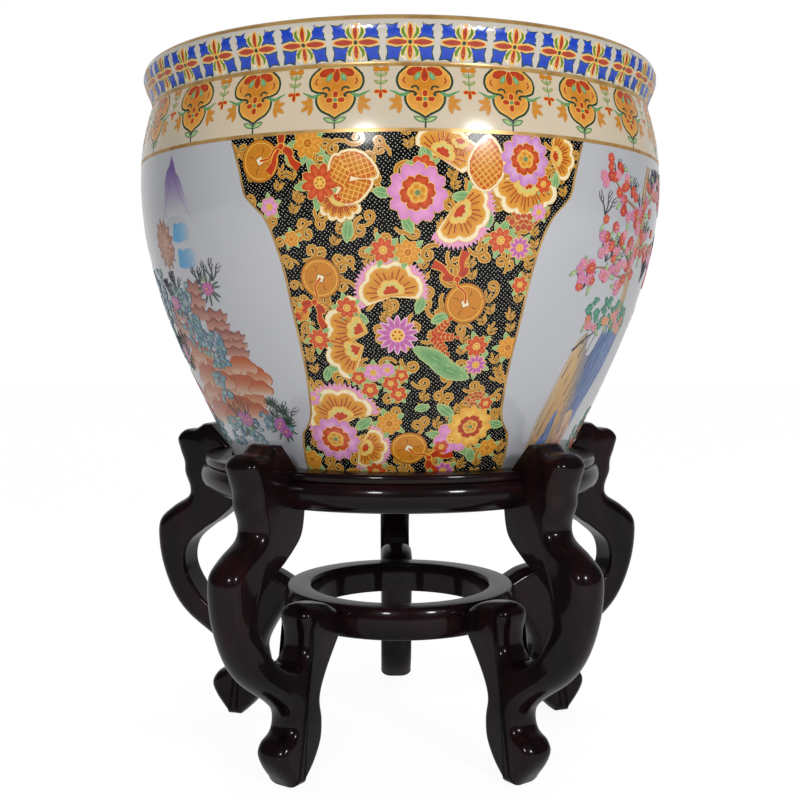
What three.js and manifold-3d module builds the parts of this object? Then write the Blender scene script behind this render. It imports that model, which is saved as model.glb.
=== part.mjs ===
// Jardiniere on stand: a porcelain fish bowl resting in the top ring of a five-legged hardwood stand.
// Millimetres, +Z up. The origin is on the floor, on the common axis of the bowl and the two rings.
import * as THREE from "three";
import { mergeVertices } from "three/addons/utils/BufferGeometryUtils.js";
import Module from "manifold-3d";

const wasm = await Module();
wasm.setup();

// ---------------------------------------------------------------- driving dimensions

const FIT_GAP = 0.3; // between pieces that seat on each other

const LEG_COUNT = 5;
const LEG_THICKNESS = 28; // the plank that each leg is sawn from
const BULLNOSE = 10; // depth of the rounding on a leg's outer edges
const ARRIS = 2.5; // rounding left on a leg's inner edges
const SHOULDER_REACH = 217; // how far the shoulders stand out from the axis
const SHOULDER_HEIGHT = 150;
const FOOT_REACH = 144.5; // from the axis to the middle of a foot's sole
const SOLE_LENGTH = 10; // flat part of the foot that touches the floor
const TOE_LENGTH = 22; // the curled toe, out from the middle of the sole
const SOLE_ROUNDING = 6; // of the foot, round the flat part of its sole

const UPPER_RING_RADIUS = 159.8;
const UPPER_RING_TOP = 229.6; // the ledge round the bowl
const UPPER_RING_THICKNESS = 28.3;
const UPPER_RING_BORE = 105; // radius of the open middle
const BEAD_HEIGHT = 6.6; // small moulding above the half-round
const BEAD_SETBACK = 3.2; // how far the bead stands behind the half-round
const GROOVE_DEPTH = 1.6; // groove between the two mouldings
const SEAT_DEPTH = 7.1; // recess that the bowl's foot stands in
const SEAT_CLEARANCE = 1.5; // round the bowl's foot

const LOWER_RING_RADIUS = 94.5;
const LOWER_RING_TOP = 121.9;
const LOWER_RING_THICKNESS = 24.6;
const LOWER_RING_BORE = 72.4;
const LOWER_RING_ROUND = 4; // depth of the rounding on its outer edge
const LOWER_RING_LIP = 3; // rounding of the bore's top edge

const BOWL_HEIGHT = 305;
const BOWL_RADIUS = 203.3; // at the belly
const BELLY_HEIGHT = 216.5; // of the widest circle, above the bowl's foot
const BOWL_FOOT_RADIUS = 131;
const FOOT_RIM_WIDTH = 12;
const FOOT_RIM_DEPTH = 6; // recess under the bowl
const NECK_RADIUS = 193.8; // the groove under the rim
const NECK_DROP = 30.5; // from the lip down to the groove
const RIM_RADIUS = 199.9; // the rolled rim
const RIM_DROP = 9; // from the lip down to the rim's widest circle
const LIP_RADIUS = 191.4;
const BOWL_WALL = 8.5;
const BOWL_FLOOR = 9;
const FLOOR_BEND = 30; // curve between the floor and the wall inside

const SCREW_LENGTH = 52;
const SCREW_RADIUS = 2.5;
const SCREW_HEAD_RADIUS = 4.8;
const SCREW_HEAD_HEIGHT = 3;
const SCREW_POCKET = 22; // depth of the pocket in the upper ring's bore

const DOWEL_LENGTH = 36;
const DOWEL_RADIUS = 4;
const DOWEL_CHAMFER = 1;
const DOWEL_IN_RING = 15;

// ---------------------------------------------------------------- resolution

const BOWL_FACETS = 50;
const RING_FACETS = 10 * LEG_COUNT; // so that every leg meets the same facets
const ROD_FACETS = 12;

// ---------------------------------------------------------------- materials

const lacquer = new THREE.MeshStandardMaterial({ color: 0x1e0c0e, roughness: 0.16, metalness: 0 });
const porcelain = new THREE.MeshStandardMaterial({ color: 0xd9d6cc, roughness: 0.1, metalness: 0 });
const steel = new THREE.MeshStandardMaterial({ color: 0x8c8c8c, roughness: 0.4, metalness: 1 });
const beech = new THREE.MeshStandardMaterial({ color: 0xc29a6b, roughness: 0.7, metalness: 0 });

// ---------------------------------------------------------------- solids

function solidOf(geometry) {
  const plain = geometry.index ? geometry.toNonIndexed() : geometry.clone();
  plain.deleteAttribute("normal");
  plain.deleteAttribute("uv");
  const merged = mergeVertices(plain, 1e-4);
  return new wasm.Manifold(
    new wasm.Mesh({
      numProp: 3,
      vertProperties: merged.attributes.position.array,
      triVerts: new Uint32Array(merged.index.array),
    }),
  );
}

function geometryOf(solid) {
  const mesh = solid.getMesh();
  const geometry = new THREE.BufferGeometry();
  geometry.setAttribute("position", new THREE.BufferAttribute(mesh.vertProperties, 3));
  geometry.setIndex(new THREE.BufferAttribute(mesh.triVerts, 1));
  return geometry;
}

function cut(body, ...tools) {
  return geometryOf(tools.reduce((left, tool) => left.subtract(solidOf(tool)), solidOf(body)));
}

function meshOf(name, geometry, material) {
  geometry.computeVertexNormals();
  const mesh = new THREE.Mesh(geometry, material);
  mesh.name = name;
  return mesh;
}

// Turns a profile of [radius, height] pairs about Z. A profile runs up its outer side and down its inner
// side, so that faces point out; one that stays off the axis is closed on itself.
function turned(profile, facets) {
  const points = profile.map(([radius, height]) => new THREE.Vector2(radius, height));
  const onAxis = points[0].x === 0 && points.at(-1).x === 0;
  if (!onAxis) points.push(points[0].clone());
  return new THREE.LatheGeometry(points, facets).rotateX(Math.PI / 2);
}

// A turned rod, a screw or a dowel, laid along +X with its profile's heights as distances from the axis of the stand.
function rodAlongX(profile) {
  return turned(profile, ROD_FACETS).rotateY(Math.PI / 2);
}

function plainRod(radius, from, to) {
  return rodAlongX([
    [0, from],
    [radius, from],
    [radius, to],
    [0, to],
  ]);
}

const samples = (curve, count) => curve.getPoints(count).map((point) => [point.x, point.y]);

function bend(from, pullFrom, pullTo, to, count) {
  const [a, b, c, d] = [from, pullFrom, pullTo, to].map(([x, y]) => new THREE.Vector2(x, y));
  return samples(new THREE.CubicBezierCurve(a, b, c, d), count);
}

// A quarter of an ellipse, from one angle to another in degrees.
function quarter([x, y], width, height, start, end, count) {
  const [from, to] = [start, end].map(THREE.MathUtils.degToRad);
  return samples(new THREE.EllipseCurve(x, y, width, height, from, to, end < start), count);
}

// A profile moved out by a distance, square to each of its sides; a negative distance moves it in.
function grown(profile, distance) {
  const count = profile.length;
  const side = (from, to) => {
    const [x, y] = [to[0] - from[0], to[1] - from[1]];
    const length = Math.hypot(x, y);
    return [y / length, -x / length];
  };
  return profile.map((point, i) => {
    const before = side(profile[(i + count - 1) % count], point);
    const after = side(point, profile[(i + 1) % count]);
    const reach = distance / (1 + before[0] * after[0] + before[1] * after[1]);
    return [point[0] + (before[0] + after[0]) * reach, point[1] + (before[1] + after[1]) * reach];
  });
}

// ---------------------------------------------------------------- bowl

const BOWL_BASE = UPPER_RING_TOP - SEAT_DEPTH + FIT_GAP;
const BOWL_TOP = BOWL_BASE + BOWL_HEIGHT;

// The side of the bowl from a height above the foot up to the lip; the inside is the same curve one wall in.
function bowlSide(wall) {
  const belly = [BOWL_RADIUS - wall, BELLY_HEIGHT];
  const neck = [NECK_RADIUS - wall, BOWL_HEIGHT - NECK_DROP];
  const flare = 70; // the wall leaves the foot at a slope of one in two
  const lower = bend(
    [BOWL_FOOT_RADIUS - wall, 0],
    [BOWL_FOOT_RADIUS - wall + flare / 2, flare],
    [belly[0], BELLY_HEIGHT - 75],
    belly,
    8,
  );
  const shoulder = bend(belly, [belly[0], belly[1] + 26], [neck[0] + 5.2, neck[1] - 18], neck, 4);
  return [...lower, ...shoulder.slice(1)];
}

function bowl() {
  const outside = bowlSide(0);
  const rimHeight = BOWL_HEIGHT - RIM_DROP;
  const neck = outside.at(-1);
  const rim = bend(neck, [NECK_RADIUS + 0.4, neck[1] + 9], [RIM_RADIUS, rimHeight - 8], [RIM_RADIUS, rimHeight], 3);
  const lip = quarter([LIP_RADIUS, rimHeight], RIM_RADIUS - LIP_RADIUS, RIM_DROP, 0, 90, 3);
  const inside = bowlSide(BOWL_WALL);
  const mouth = inside.at(-1)[0];
  const mouthEdge = [mouth, BOWL_HEIGHT - RIM_DROP / 2];
  const floorTop = FOOT_RIM_DEPTH + BOWL_FLOOR;
  const wallFoot = inside.findIndex(([, height]) => height > floorTop + FLOOR_BEND / 2);
  const [bendRadius, bendTop] = inside[wallFoot];
  const bendFoot = bendRadius - (bendTop - floorTop) / 2;
  const floor = bend(
    [bendRadius, bendTop],
    [bendFoot, floorTop + 2],
    [bendFoot - 6, floorTop],
    [bendFoot - FLOOR_BEND, floorTop],
    4,
  );
  const rimInside = BOWL_FOOT_RADIUS - FOOT_RIM_WIDTH;
  const profile = [
    [0, FOOT_RIM_DEPTH],
    [rimInside - 2, FOOT_RIM_DEPTH],
    [rimInside, 0],
    ...outside,
    ...rim.slice(1),
    ...lip.slice(1),
    mouthEdge,
    ...inside.slice(wallFoot + 1).reverse(),
    ...floor,
    [0, floorTop],
  ];
  const raised = profile.map(([radius, height]) => [radius, height + BOWL_BASE]);
  return meshOf("bowl", turned(raised, BOWL_FACETS), porcelain);
}

// ---------------------------------------------------------------- rings

const UPPER_RING_FOOT = UPPER_RING_TOP - UPPER_RING_THICKNESS;
const SEAT_RADIUS = BOWL_FOOT_RADIUS + SEAT_CLEARANCE + SEAT_DEPTH / 2;

// The ring's section: a half-round, with a small bead set back above it.
function upperRingSection() {
  const halfRoundTop = UPPER_RING_TOP - BEAD_HEIGHT;
  const height = halfRoundTop - UPPER_RING_FOOT;
  const widest = UPPER_RING_FOOT + 0.6 * height;
  const beadRadius = UPPER_RING_RADIUS - BEAD_SETBACK;
  const groove = beadRadius - GROOVE_DEPTH;
  const underside = UPPER_RING_RADIUS - 0.75 * height;
  const beadMiddle = halfRoundTop + BEAD_HEIGHT / 2;
  return [
    [UPPER_RING_BORE, UPPER_RING_FOOT],
    ...quarter([underside, widest], UPPER_RING_RADIUS - underside, widest - UPPER_RING_FOOT, -90, 0, 3),
    ...quarter([groove, widest], UPPER_RING_RADIUS - groove, halfRoundTop - widest, 0, 90, 2).slice(1),
    ...quarter([groove, beadMiddle], beadRadius - groove, BEAD_HEIGHT / 2, -60, 90, 3),
    [SEAT_RADIUS, UPPER_RING_TOP],
    [SEAT_RADIUS, UPPER_RING_TOP - SEAT_DEPTH],
    [UPPER_RING_BORE, UPPER_RING_TOP - SEAT_DEPTH],
  ];
}

function lowerRingSection() {
  const foot = LOWER_RING_TOP - LOWER_RING_THICKNESS;
  const middle = foot + LOWER_RING_THICKNESS / 2;
  const edge = LOWER_RING_RADIUS - LOWER_RING_ROUND;
  const lip = LOWER_RING_LIP;
  return [
    [LOWER_RING_BORE, foot],
    ...quarter([edge, middle], LOWER_RING_ROUND, LOWER_RING_THICKNESS / 2, -90, 90, 6),
    ...quarter([LOWER_RING_BORE + lip, LOWER_RING_TOP - lip], lip, lip, 90, 180, 2),
  ];
}

const ringSolid = (section) => turned(section, RING_FACETS);

// ---------------------------------------------------------------- screws and dowels

const SCREW_HEIGHT = UPPER_RING_FOOT + (UPPER_RING_THICKNESS - SEAT_DEPTH) / 2;
const SCREW_START = UPPER_RING_BORE + SCREW_POCKET;
const DOWEL_HEIGHT = LOWER_RING_TOP - LOWER_RING_THICKNESS / 2;
const DOWEL_START = LOWER_RING_RADIUS - DOWEL_IN_RING;

// A countersunk wood screw, its head towards the axis of the stand.
function screwProfile(clearance) {
  const end = SCREW_START + SCREW_LENGTH + clearance;
  const tip = 4 * SCREW_RADIUS;
  return [
    [0, SCREW_START],
    [SCREW_HEAD_RADIUS + clearance, SCREW_START],
    [SCREW_RADIUS + clearance, SCREW_START + SCREW_HEAD_HEIGHT],
    [SCREW_RADIUS + clearance, end - tip],
    [0, end],
  ];
}

function screwHole() {
  const pocket = plainRod(SCREW_HEAD_RADIUS + 2 * FIT_GAP, UPPER_RING_BORE / 2, SCREW_START);
  return geometryOf(solidOf(rodAlongX(screwProfile(FIT_GAP))).add(solidOf(pocket)));
}

function dowelProfile() {
  const end = DOWEL_START + DOWEL_LENGTH;
  const neck = DOWEL_RADIUS - DOWEL_CHAMFER;
  return [
    [0, DOWEL_START],
    [neck, DOWEL_START],
    [DOWEL_RADIUS, DOWEL_START + DOWEL_CHAMFER],
    [DOWEL_RADIUS, end - DOWEL_CHAMFER],
    [neck, end],
    [0, end],
  ];
}

const dowelHole = () =>
  plainRod(DOWEL_RADIUS + FIT_GAP, DOWEL_START - FIT_GAP, DOWEL_START + DOWEL_LENGTH + FIT_GAP);

// ---------------------------------------------------------------- legs

// Stations on the leg's outline, as [reach, height, rounding], each set from what it stands against.
const atUpperRing = (out, up, rounding) => [UPPER_RING_RADIUS + out, UPPER_RING_TOP + up, rounding];
const atLowerRing = (out, up, rounding) => [LOWER_RING_RADIUS + out, LOWER_RING_TOP + up, rounding];
const atShoulder = (out, up, rounding) => [SHOULDER_REACH + out, SHOULDER_HEIGHT + up, rounding];
const atFoot = (out, up, rounding) => [FOOT_REACH + out, up, rounding];

// The hollow between the ring and the shoulder, at a share of the way out from the one to the other.
const atNeck = (share, height, rounding) => [
  THREE.MathUtils.lerp(UPPER_RING_RADIUS + 26.9, SHOULDER_REACH - 2.2, share),
  height,
  rounding,
];

// The foot of the slot between the hook and the leg, at a share of the way from the one to the other.
const atSlot = (share, up, rounding) => [
  THREE.MathUtils.lerp(LOWER_RING_RADIUS + 44, SHOULDER_REACH - 50.5, share),
  LOWER_RING_TOP + up,
  rounding,
];

// A smooth run through stations, with points between them.
function run(stations, between = 2) {
  const curve = new THREE.SplineCurve(stations.map(([reach, height]) => new THREE.Vector2(reach, height)));
  const spans = stations.length - 1;
  return Array.from({ length: spans * between + 1 }, (_, i) => {
    const span = Math.min(Math.floor(i / between), spans - 1);
    const { x, y } = curve.getPoint(i / (spans * between));
    return [x, y, THREE.MathUtils.lerp(stations[span][2], stations[span + 1][2], i / between - span)];
  });
}

// The leg's outline, round from the sole: up the inside, over the scroll, up to the head and down the outside.
function legOutline() {
  const sole = SOLE_LENGTH / 2;
  const lowerFoot = -LOWER_RING_THICKNESS;
  const upperFoot = -UPPER_RING_THICKNESS;
  const stem = run([
    atFoot(-sole, 0, SOLE_ROUNDING),
    atFoot(-18, 12.5, 7),
    atFoot(-26.5, 28, 7),
    atLowerRing(22, lowerFoot - 53, 7),
    atLowerRing(24, lowerFoot - 37, 7),
    atLowerRing(16.5, lowerFoot - 20, 7),
    atLowerRing(2, lowerFoot + 1.5, 7),
  ]);
  const ringSide = [
    atLowerRing(-3, lowerFoot + 8, ARRIS),
    atLowerRing(-3, -5, ARRIS),
  ];
  const scroll = run([
    atLowerRing(-1, -3.5, 6),
    atLowerRing(14, 4.6, 7),
    atLowerRing(32.5, 7.5, 7),
    atLowerRing(42, 4.6, 7),
    atLowerRing(44.7, -2.5, 7),
    atLowerRing(42.2, -14, 7),
    atLowerRing(44, -26.4, 7),
    atSlot(0.36, -32.8, 5),
    atSlot(1, -27.5, ARRIS),
    atShoulder(-36.5, -40, ARRIS),
    atShoulder(-28.5, -22, ARRIS),
    atShoulder(-31.5, -4.5, ARRIS),
    atShoulder(-45.5, 8.5, ARRIS),
    atUpperRing(-1.5, upperFoot - 34, ARRIS),
    atUpperRing(-17, upperFoot - 19, ARRIS),
    atUpperRing(-21.5, upperFoot, ARRIS),
  ]);
  const head = [
    atUpperRing(-14.5, 0, ARRIS),
    atUpperRing(3.2, 19, ARRIS),
    atUpperRing(8, 19.6, 4),
  ];
  const outside = run([
    atUpperRing(12, 19, 5),
    atUpperRing(20, 14.5, 6),
    atUpperRing(30, 13.3, 6),
    atUpperRing(36.5, 6.5, 7),
    atUpperRing(35.5, -4, BULLNOSE),
    atUpperRing(32, -14, BULLNOSE),
    atUpperRing(31.2, -24, BULLNOSE),
    atUpperRing(26.9, -36, BULLNOSE),
    atNeck(0.082, UPPER_RING_TOP - 44.1, BULLNOSE),
    atNeck(0.58, SHOULDER_HEIGHT + 26.5, BULLNOSE),
    atShoulder(-2.2, 15.5, BULLNOSE),
    atShoulder(0, 0, BULLNOSE),
    atShoulder(-3.6, -23.5, BULLNOSE),
    atShoulder(-13.5, -48.5, BULLNOSE),
    atShoulder(-28, -67, BULLNOSE),
    atFoot(19.5, 64.5, BULLNOSE),
    atFoot(8.5, 53, BULLNOSE),
    atFoot(8, 41.5, 8),
    atFoot(TOE_LENGTH - 5, 35, 7),
    atFoot(TOE_LENGTH, 26, 8),
    atFoot(TOE_LENGTH - 4.5, 14.5, 8),
    atFoot(sole, 0, SOLE_ROUNDING),
  ]);
  return [...stem, ...ringSide, ...scroll, ...head, ...outside];
}

// How far a station of the outline lies in from its full reach, at a distance from the plank's middle.
function roundingInset(rounding, offset) {
  const half = LEG_THICKNESS / 2;
  const share = THREE.MathUtils.clamp((rounding - ARRIS) / (BULLNOSE - ARRIS), 0, 1);
  const width = THREE.MathUtils.lerp(rounding, half, share);
  const along = Math.max(0, (Math.abs(offset) - (half - width)) / width);
  return rounding * (1 - Math.sqrt(1 - Math.min(1, along * along)));
}

// A plank of the given outline, in the XZ plane and centred on it, with rounded edges.
function plank(outline) {
  const count = outline.length;
  const inward = outline.map((_, i) => {
    const [x0, z0] = outline[(i + count - 1) % count];
    const [x1, z1] = outline[(i + 1) % count];
    const length = Math.hypot(x1 - x0, z1 - z0);
    return [(z1 - z0) / length, (x0 - x1) / length];
  });
  const layers = [-1, -0.82, -0.28, 0.28, 0.82, 1].map((share) => (share * LEG_THICKNESS) / 2);
  const positions = [];
  const faces = [];
  for (const offset of layers)
    outline.forEach(([x, z, rounding], i) => {
      const inset = roundingInset(rounding, offset);
      positions.push(x + inward[i][0] * inset, offset, z + inward[i][1] * inset);
    });
  for (let layer = 0; layer < layers.length - 1; layer++)
    for (let i = 0; i < count; i++) {
      const [a, b] = [layer * count + i, layer * count + ((i + 1) % count)];
      faces.push(a, b, a + count, b, b + count, a + count);
    }
  const last = (layers.length - 1) * count;
  const cap = outline.map((_, i) => new THREE.Vector2(positions[3 * i], positions[3 * i + 2]));
  for (const [a, b, c] of THREE.ShapeUtils.triangulateShape(cap, []))
    faces.push(a, b, c, last + a, last + c, last + b);
  const geometry = new THREE.BufferGeometry();
  geometry.setAttribute("position", new THREE.Float32BufferAttribute(positions, 3));
  geometry.setIndex(faces);
  return geometry;
}

// One leg, along +X, cut to fit both rings and bored for its screw and its dowel.
function legGeometry() {
  const housing = (section) => ringSolid(grown(section, FIT_GAP));
  return cut(
    plank(legOutline()),
    housing(upperRingSection()),
    housing(lowerRingSection()),
    screwHole().translate(0, 0, SCREW_HEIGHT),
    dowelHole().translate(0, 0, DOWEL_HEIGHT),
  );
}

// ---------------------------------------------------------------- assembly

const jardiniere = new THREE.Group();
const legAngles = Array.from({ length: LEG_COUNT }, (_, i) => Math.PI / 2 + (i * 2 * Math.PI) / LEG_COUNT);

const boredRing = (section, hole, height) =>
  cut(ringSolid(section), ...legAngles.map((angle) => hole().translate(0, 0, height).rotateZ(angle)));

jardiniere.add(bowl());
jardiniere.add(meshOf("upper_ring", boredRing(upperRingSection(), screwHole, SCREW_HEIGHT), lacquer));
jardiniere.add(meshOf("lower_ring", boredRing(lowerRingSection(), dowelHole, DOWEL_HEIGHT), lacquer));

legAngles.forEach((angle, i) => {
  const corner = new THREE.Group();
  corner.rotation.z = angle;
  const screw = meshOf(`ring_screw_${i + 1}`, rodAlongX(screwProfile(0)), steel);
  screw.position.z = SCREW_HEIGHT;
  const dowel = meshOf(`ring_dowel_${i + 1}`, rodAlongX(dowelProfile()), beech);
  dowel.position.z = DOWEL_HEIGHT;
  corner.add(meshOf(`leg_${i + 1}`, legGeometry(), lacquer), screw, dowel);
  jardiniere.add(corner);
});

export default jardiniere;
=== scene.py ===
"""Jardiniere on stand: a decorated porcelain fish bowl in a five-legged stand of lacquered hardwood.

Sizes are in millimetres until a mesh is made. Z is up, and the bowl's front faces -Y.
"""

import math
import random

import bmesh
import bpy
from mathutils import Matrix, Vector


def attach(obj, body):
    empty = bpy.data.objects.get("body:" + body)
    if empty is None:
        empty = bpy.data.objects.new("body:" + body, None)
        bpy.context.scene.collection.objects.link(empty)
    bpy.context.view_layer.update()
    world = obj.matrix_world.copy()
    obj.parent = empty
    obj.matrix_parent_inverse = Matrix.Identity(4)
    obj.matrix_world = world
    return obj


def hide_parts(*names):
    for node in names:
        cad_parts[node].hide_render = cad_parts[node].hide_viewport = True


MM = 0.001

# ---------------------------------------------------------------- sizes of the stand and the bowl

LEG_COUNT = 5
LEG_THICKNESS = 28
BULLNOSE = 10
ARRIS = 2.5
SHOULDER_REACH = 217
SHOULDER_HEIGHT = 150
FOOT_REACH = 144.5
SOLE_LENGTH = 10
SOLE_ROUNDING = 6
TOE_LENGTH = 22

UPPER_RING_RADIUS = 159.8
UPPER_RING_TOP = 229.6
UPPER_RING_THICKNESS = 28.3
UPPER_RING_BORE = 105
BEAD_HEIGHT = 6.6
BEAD_SETBACK = 3.2
GROOVE_DEPTH = 1.6
SEAT_DEPTH = 7.1
SEAT_RADIUS = 136.05
SCREW_HEIGHT = 211.9
SCREW_POCKET = 22
SCREW_POCKET_RADIUS = 5.4

LOWER_RING_RADIUS = 94.5
LOWER_RING_TOP = 121.9
LOWER_RING_THICKNESS = 24.6
LOWER_RING_BORE = 72.4
LOWER_RING_ROUND = 4
LOWER_RING_LIP = 3
COPING_GAP = 0.15  # between a leg and the ring that it is coped round

BOWL_BASE = 222.8
BOWL_HEIGHT = 305
BOWL_RADIUS = 203.3
BELLY_HEIGHT = 216.5
BOWL_FOOT_RADIUS = 131
FOOT_RIM_WIDTH = 12
FOOT_RIM_DEPTH = 6
FOOT_RIM_SLOPE = 2
NECK_RADIUS = 193.8
NECK_DROP = 30.5
RIM_RADIUS = 199.9
RIM_DROP = 9
LIP_RADIUS = 191.4
BOWL_WALL = 8.5
BOWL_FLOOR = 9

# ---------------------------------------------------------------- colours, as sRGB bytes

LACQUER_DEEP = (8, 5, 6)
LACQUER = (21, 9, 11)
LACQUER_WARM = (34, 13, 17)
GLAZE_WHITE, GLAZE_CLOUD = (188, 189, 193), (180, 182, 188)
BAND_IVORY, BAND_CREAM = (216, 198, 170), (200, 189, 169)
RIM_WHITE, RIM_CLOUD = (206, 200, 189), (197, 190, 178)
GILT_WORN, GILT = (166, 122, 62), (204, 164, 98)
STEEL = (150, 150, 150)
BEECH = (176, 134, 92)
FLOOR_PALE = (236, 236, 236)


def linear(colour):
    """A colour given in sRGB bytes, as Blender's linear red, green, blue and alpha."""
    steps = [byte / 255 for byte in colour]
    return [s / 12.92 if s <= 0.04045 else ((s + 0.055) / 1.055) ** 2.4 for s in steps] + [1.0]


# ---------------------------------------------------------------- materials


def tune(node, **values):
    """Sets a node's properties and sockets by name; in a socket's name, _ stands for a space."""
    for key, value in values.items():
        if hasattr(node, key):
            setattr(node, key, value)
        else:
            node.inputs[key.replace("_", " ")].default_value = value
    return node


def add_node(nodes, kind, **values):
    return tune(nodes.new(kind), **values)


def joiner(tree):
    """A function that joins one node's output to another's input in a tree."""

    def join(source, output, target, socket):
        tree.links.new(source.outputs[output], target.inputs[socket])

    return join


def new_material(name):
    """A material, its nodes, the function that joins them, and its shader."""
    material = bpy.data.materials.new(name)
    material.use_nodes = True
    nodes = material.node_tree.nodes
    return material, nodes, joiner(material.node_tree), nodes["Principled BSDF"]


def noise_on_piece(nodes, join, stretch=None, **values):
    """Noise placed by the piece's own coordinates, and where asked scaled along each axis first."""
    source, output = nodes.new("ShaderNodeTexCoord"), "Object"
    if stretch:
        drawn = add_node(nodes, "ShaderNodeMapping", Scale=stretch)
        join(source, output, drawn, "Vector")
        source, output = drawn, "Vector"
    noise = add_node(nodes, "ShaderNodeTexNoise", **values)
    join(source, output, noise, "Vector")
    return noise


def colour_by(nodes, join, shader, noise, stops):
    """Colours the shader by a noise, through stops of (position, colour)."""
    ramp = nodes.new("ShaderNodeValToRGB")
    elements = ramp.color_ramp.elements
    for element, (position, colour) in zip((elements[0], elements[1]), (stops[0], stops[-1])):
        element.position = position
        element.color = linear(colour)
    for position, colour in stops[1:-1]:
        elements.new(position).color = linear(colour)
    join(noise, "Fac", ramp, "Fac")
    join(ramp, "Color", shader, "Base Color")


def raise_by(nodes, join, shader, source, output, strength, distance):
    """Bumps the surface by an output, with a strength and a height in metres."""
    bump = add_node(nodes, "ShaderNodeBump", Strength=strength, Distance=distance)
    join(source, output, bump, "Height")
    join(bump, "Normal", shader, "Normal")


def lacquered_wood(name, stretch):
    """High-gloss dark lacquer, with the grain of the wood, drawn out by stretch, showing faintly through."""
    material, nodes, join, shader = new_material(name)
    grain = noise_on_piece(nodes, join, stretch, Scale=1.0, Detail=6.0, Roughness=0.62)
    colour_by(nodes, join, shader, grain, [(0.35, LACQUER_DEEP), (0.52, LACQUER), (0.7, LACQUER_WARM)])
    orange_peel = noise_on_piece(nodes, join, Scale=140.0, Detail=2.0)
    raise_by(nodes, join, shader, orange_peel, "Fac", 0.12, 0.0004)
    tune(shader, Roughness=0.28, Specular_IOR_Level=0.06, Coat_Weight=0.32, Coat_Roughness=0.06)
    return material


def glaze(name, colour, cloud):
    """Glazed porcelain: a clear glaze over a body whose colour clouds a little towards another."""
    material, nodes, join, shader = new_material(name)
    clouds = noise_on_piece(nodes, join, Scale=9.0, Detail=3.0)
    colour_by(nodes, join, shader, clouds, [(0.3, colour), (0.75, cloud)])
    ripple = noise_on_piece(nodes, join, Scale=22.0, Detail=1.0)
    raise_by(nodes, join, shader, ripple, "Fac", 0.1, 0.002)
    tune(shader, Roughness=0.16, Coat_Weight=0.6, Coat_Roughness=0.04)
    return material


def gilding(name):
    """Fired gold, worn a little thin."""
    material, nodes, join, shader = new_material(name)
    wear = noise_on_piece(nodes, join, Scale=60.0, Detail=4.0)
    colour_by(nodes, join, shader, wear, [(0.35, GILT_WORN), (0.6, GILT)])
    tune(shader, Metallic=0.3, Roughness=0.3)
    return material


def plain(name, colour, roughness, metallic=0.0):
    """A material of one colour, with a fine mottle in its roughness."""
    material, nodes, join, shader = new_material(name)
    mottle = noise_on_piece(nodes, join, Scale=80.0, Detail=3.0)
    spread = add_node(nodes, "ShaderNodeMapRange", To_Min=0.8 * roughness, To_Max=1.2 * roughness)
    join(mottle, "Fac", spread, "Value")
    join(spread, "Result", shader, "Roughness")
    tune(shader, Base_Color=linear(colour), Metallic=metallic)
    return material


# ---------------------------------------------------------------- curves, as lists of (x, y) pairs


def bend(start, pull_start, pull_end, end, count):
    """A cubic curve between two points, drawn towards two others."""
    points = []
    for i in range(count + 1):
        t = i / count
        weights = ((1 - t) ** 3, 3 * (1 - t) ** 2 * t, 3 * (1 - t) * t * t, t**3)
        corners = (start, pull_start, pull_end, end)
        points.append(tuple(sum(w * c[k] for w, c in zip(weights, corners)) for k in (0, 1)))
    return points


def quarter(centre, width, height, start, end, count):
    """Part of an ellipse, from one angle to another in degrees."""
    angles = [math.radians(start + (end - start) * i / count) for i in range(count + 1)]
    return [(centre[0] + width * math.cos(a), centre[1] + height * math.sin(a)) for a in angles]


def smooth_run(stations, between):
    """A smooth curve through stations, each a tuple of numbers, with points between them."""
    last = len(stations) - 1
    points = []
    for i in range(last * between + 1):
        span = min(i // between, last - 1)
        t = i / between - span
        picks = (max(span - 1, 0), span, span + 1, min(span + 2, last))
        before, here, there, after = (stations[k] for k in picks)
        point = []
        for a, b, c, d in zip(before, here, there, after):
            rise, fall = (c - a) / 2, (d - b) / 2
            cubic, square = 2 * (b - c) + rise + fall, 3 * (c - b) - 2 * rise - fall
            point.append(cubic * t**3 + square * t * t + rise * t + b)
        points.append(tuple(point))
    return points


# ---------------------------------------------------------------- meshes


def shade(mesh, sharp_from=34):
    """Smooth shading, with edges kept crisp from an angle in degrees."""
    mesh.polygons.foreach_set("use_smooth", [True] * len(mesh.polygons))
    mesh.set_sharp_from_angle(angle=math.radians(sharp_from))


def object_from(name, points, faces, sharp_from=34):
    """An object of a mesh given in millimetres."""
    mesh = bpy.data.meshes.new(name)
    mesh.from_pydata([Vector(p) * MM for p in points], [], faces)
    mesh.update()
    shade(mesh, sharp_from)
    thing = bpy.data.objects.new(name, mesh)
    bpy.context.scene.collection.objects.link(thing)
    return thing


def turned(name, profile, segments=240, closed=True):
    """A profile of (radius, height) pairs, up its outer side so that faces point out, turned about Z."""
    points, rows = [], []
    for radius, height in profile:
        rows.append(range(len(points), len(points) + (1 if radius == 0 else segments)))
        for index in range(len(rows[-1])):
            angle = math.tau * index / segments
            points.append((radius * math.cos(angle), radius * math.sin(angle), height))
    faces = []
    pairs = list(zip(rows, rows[1:] + rows[:1])) if closed else list(zip(rows, rows[1:]))
    for low, high in pairs:
        for index in range(segments):
            after = (index + 1) % segments
            ends = ((low, index), (low, after), (high, after), (high, index))
            corners = list(dict.fromkeys(row[place % len(row)] for row, place in ends))
            if len(corners) > 2:
                faces.append(corners)
    return object_from(name, points, faces)


def settled(thing):
    """The object with its modifiers worked into a plain mesh."""
    depsgraph = bpy.context.evaluated_depsgraph_get()
    mesh = bpy.data.meshes.new_from_object(thing.evaluated_get(depsgraph))
    thing.modifiers.clear()
    thing.data = mesh
    return thing


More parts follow.
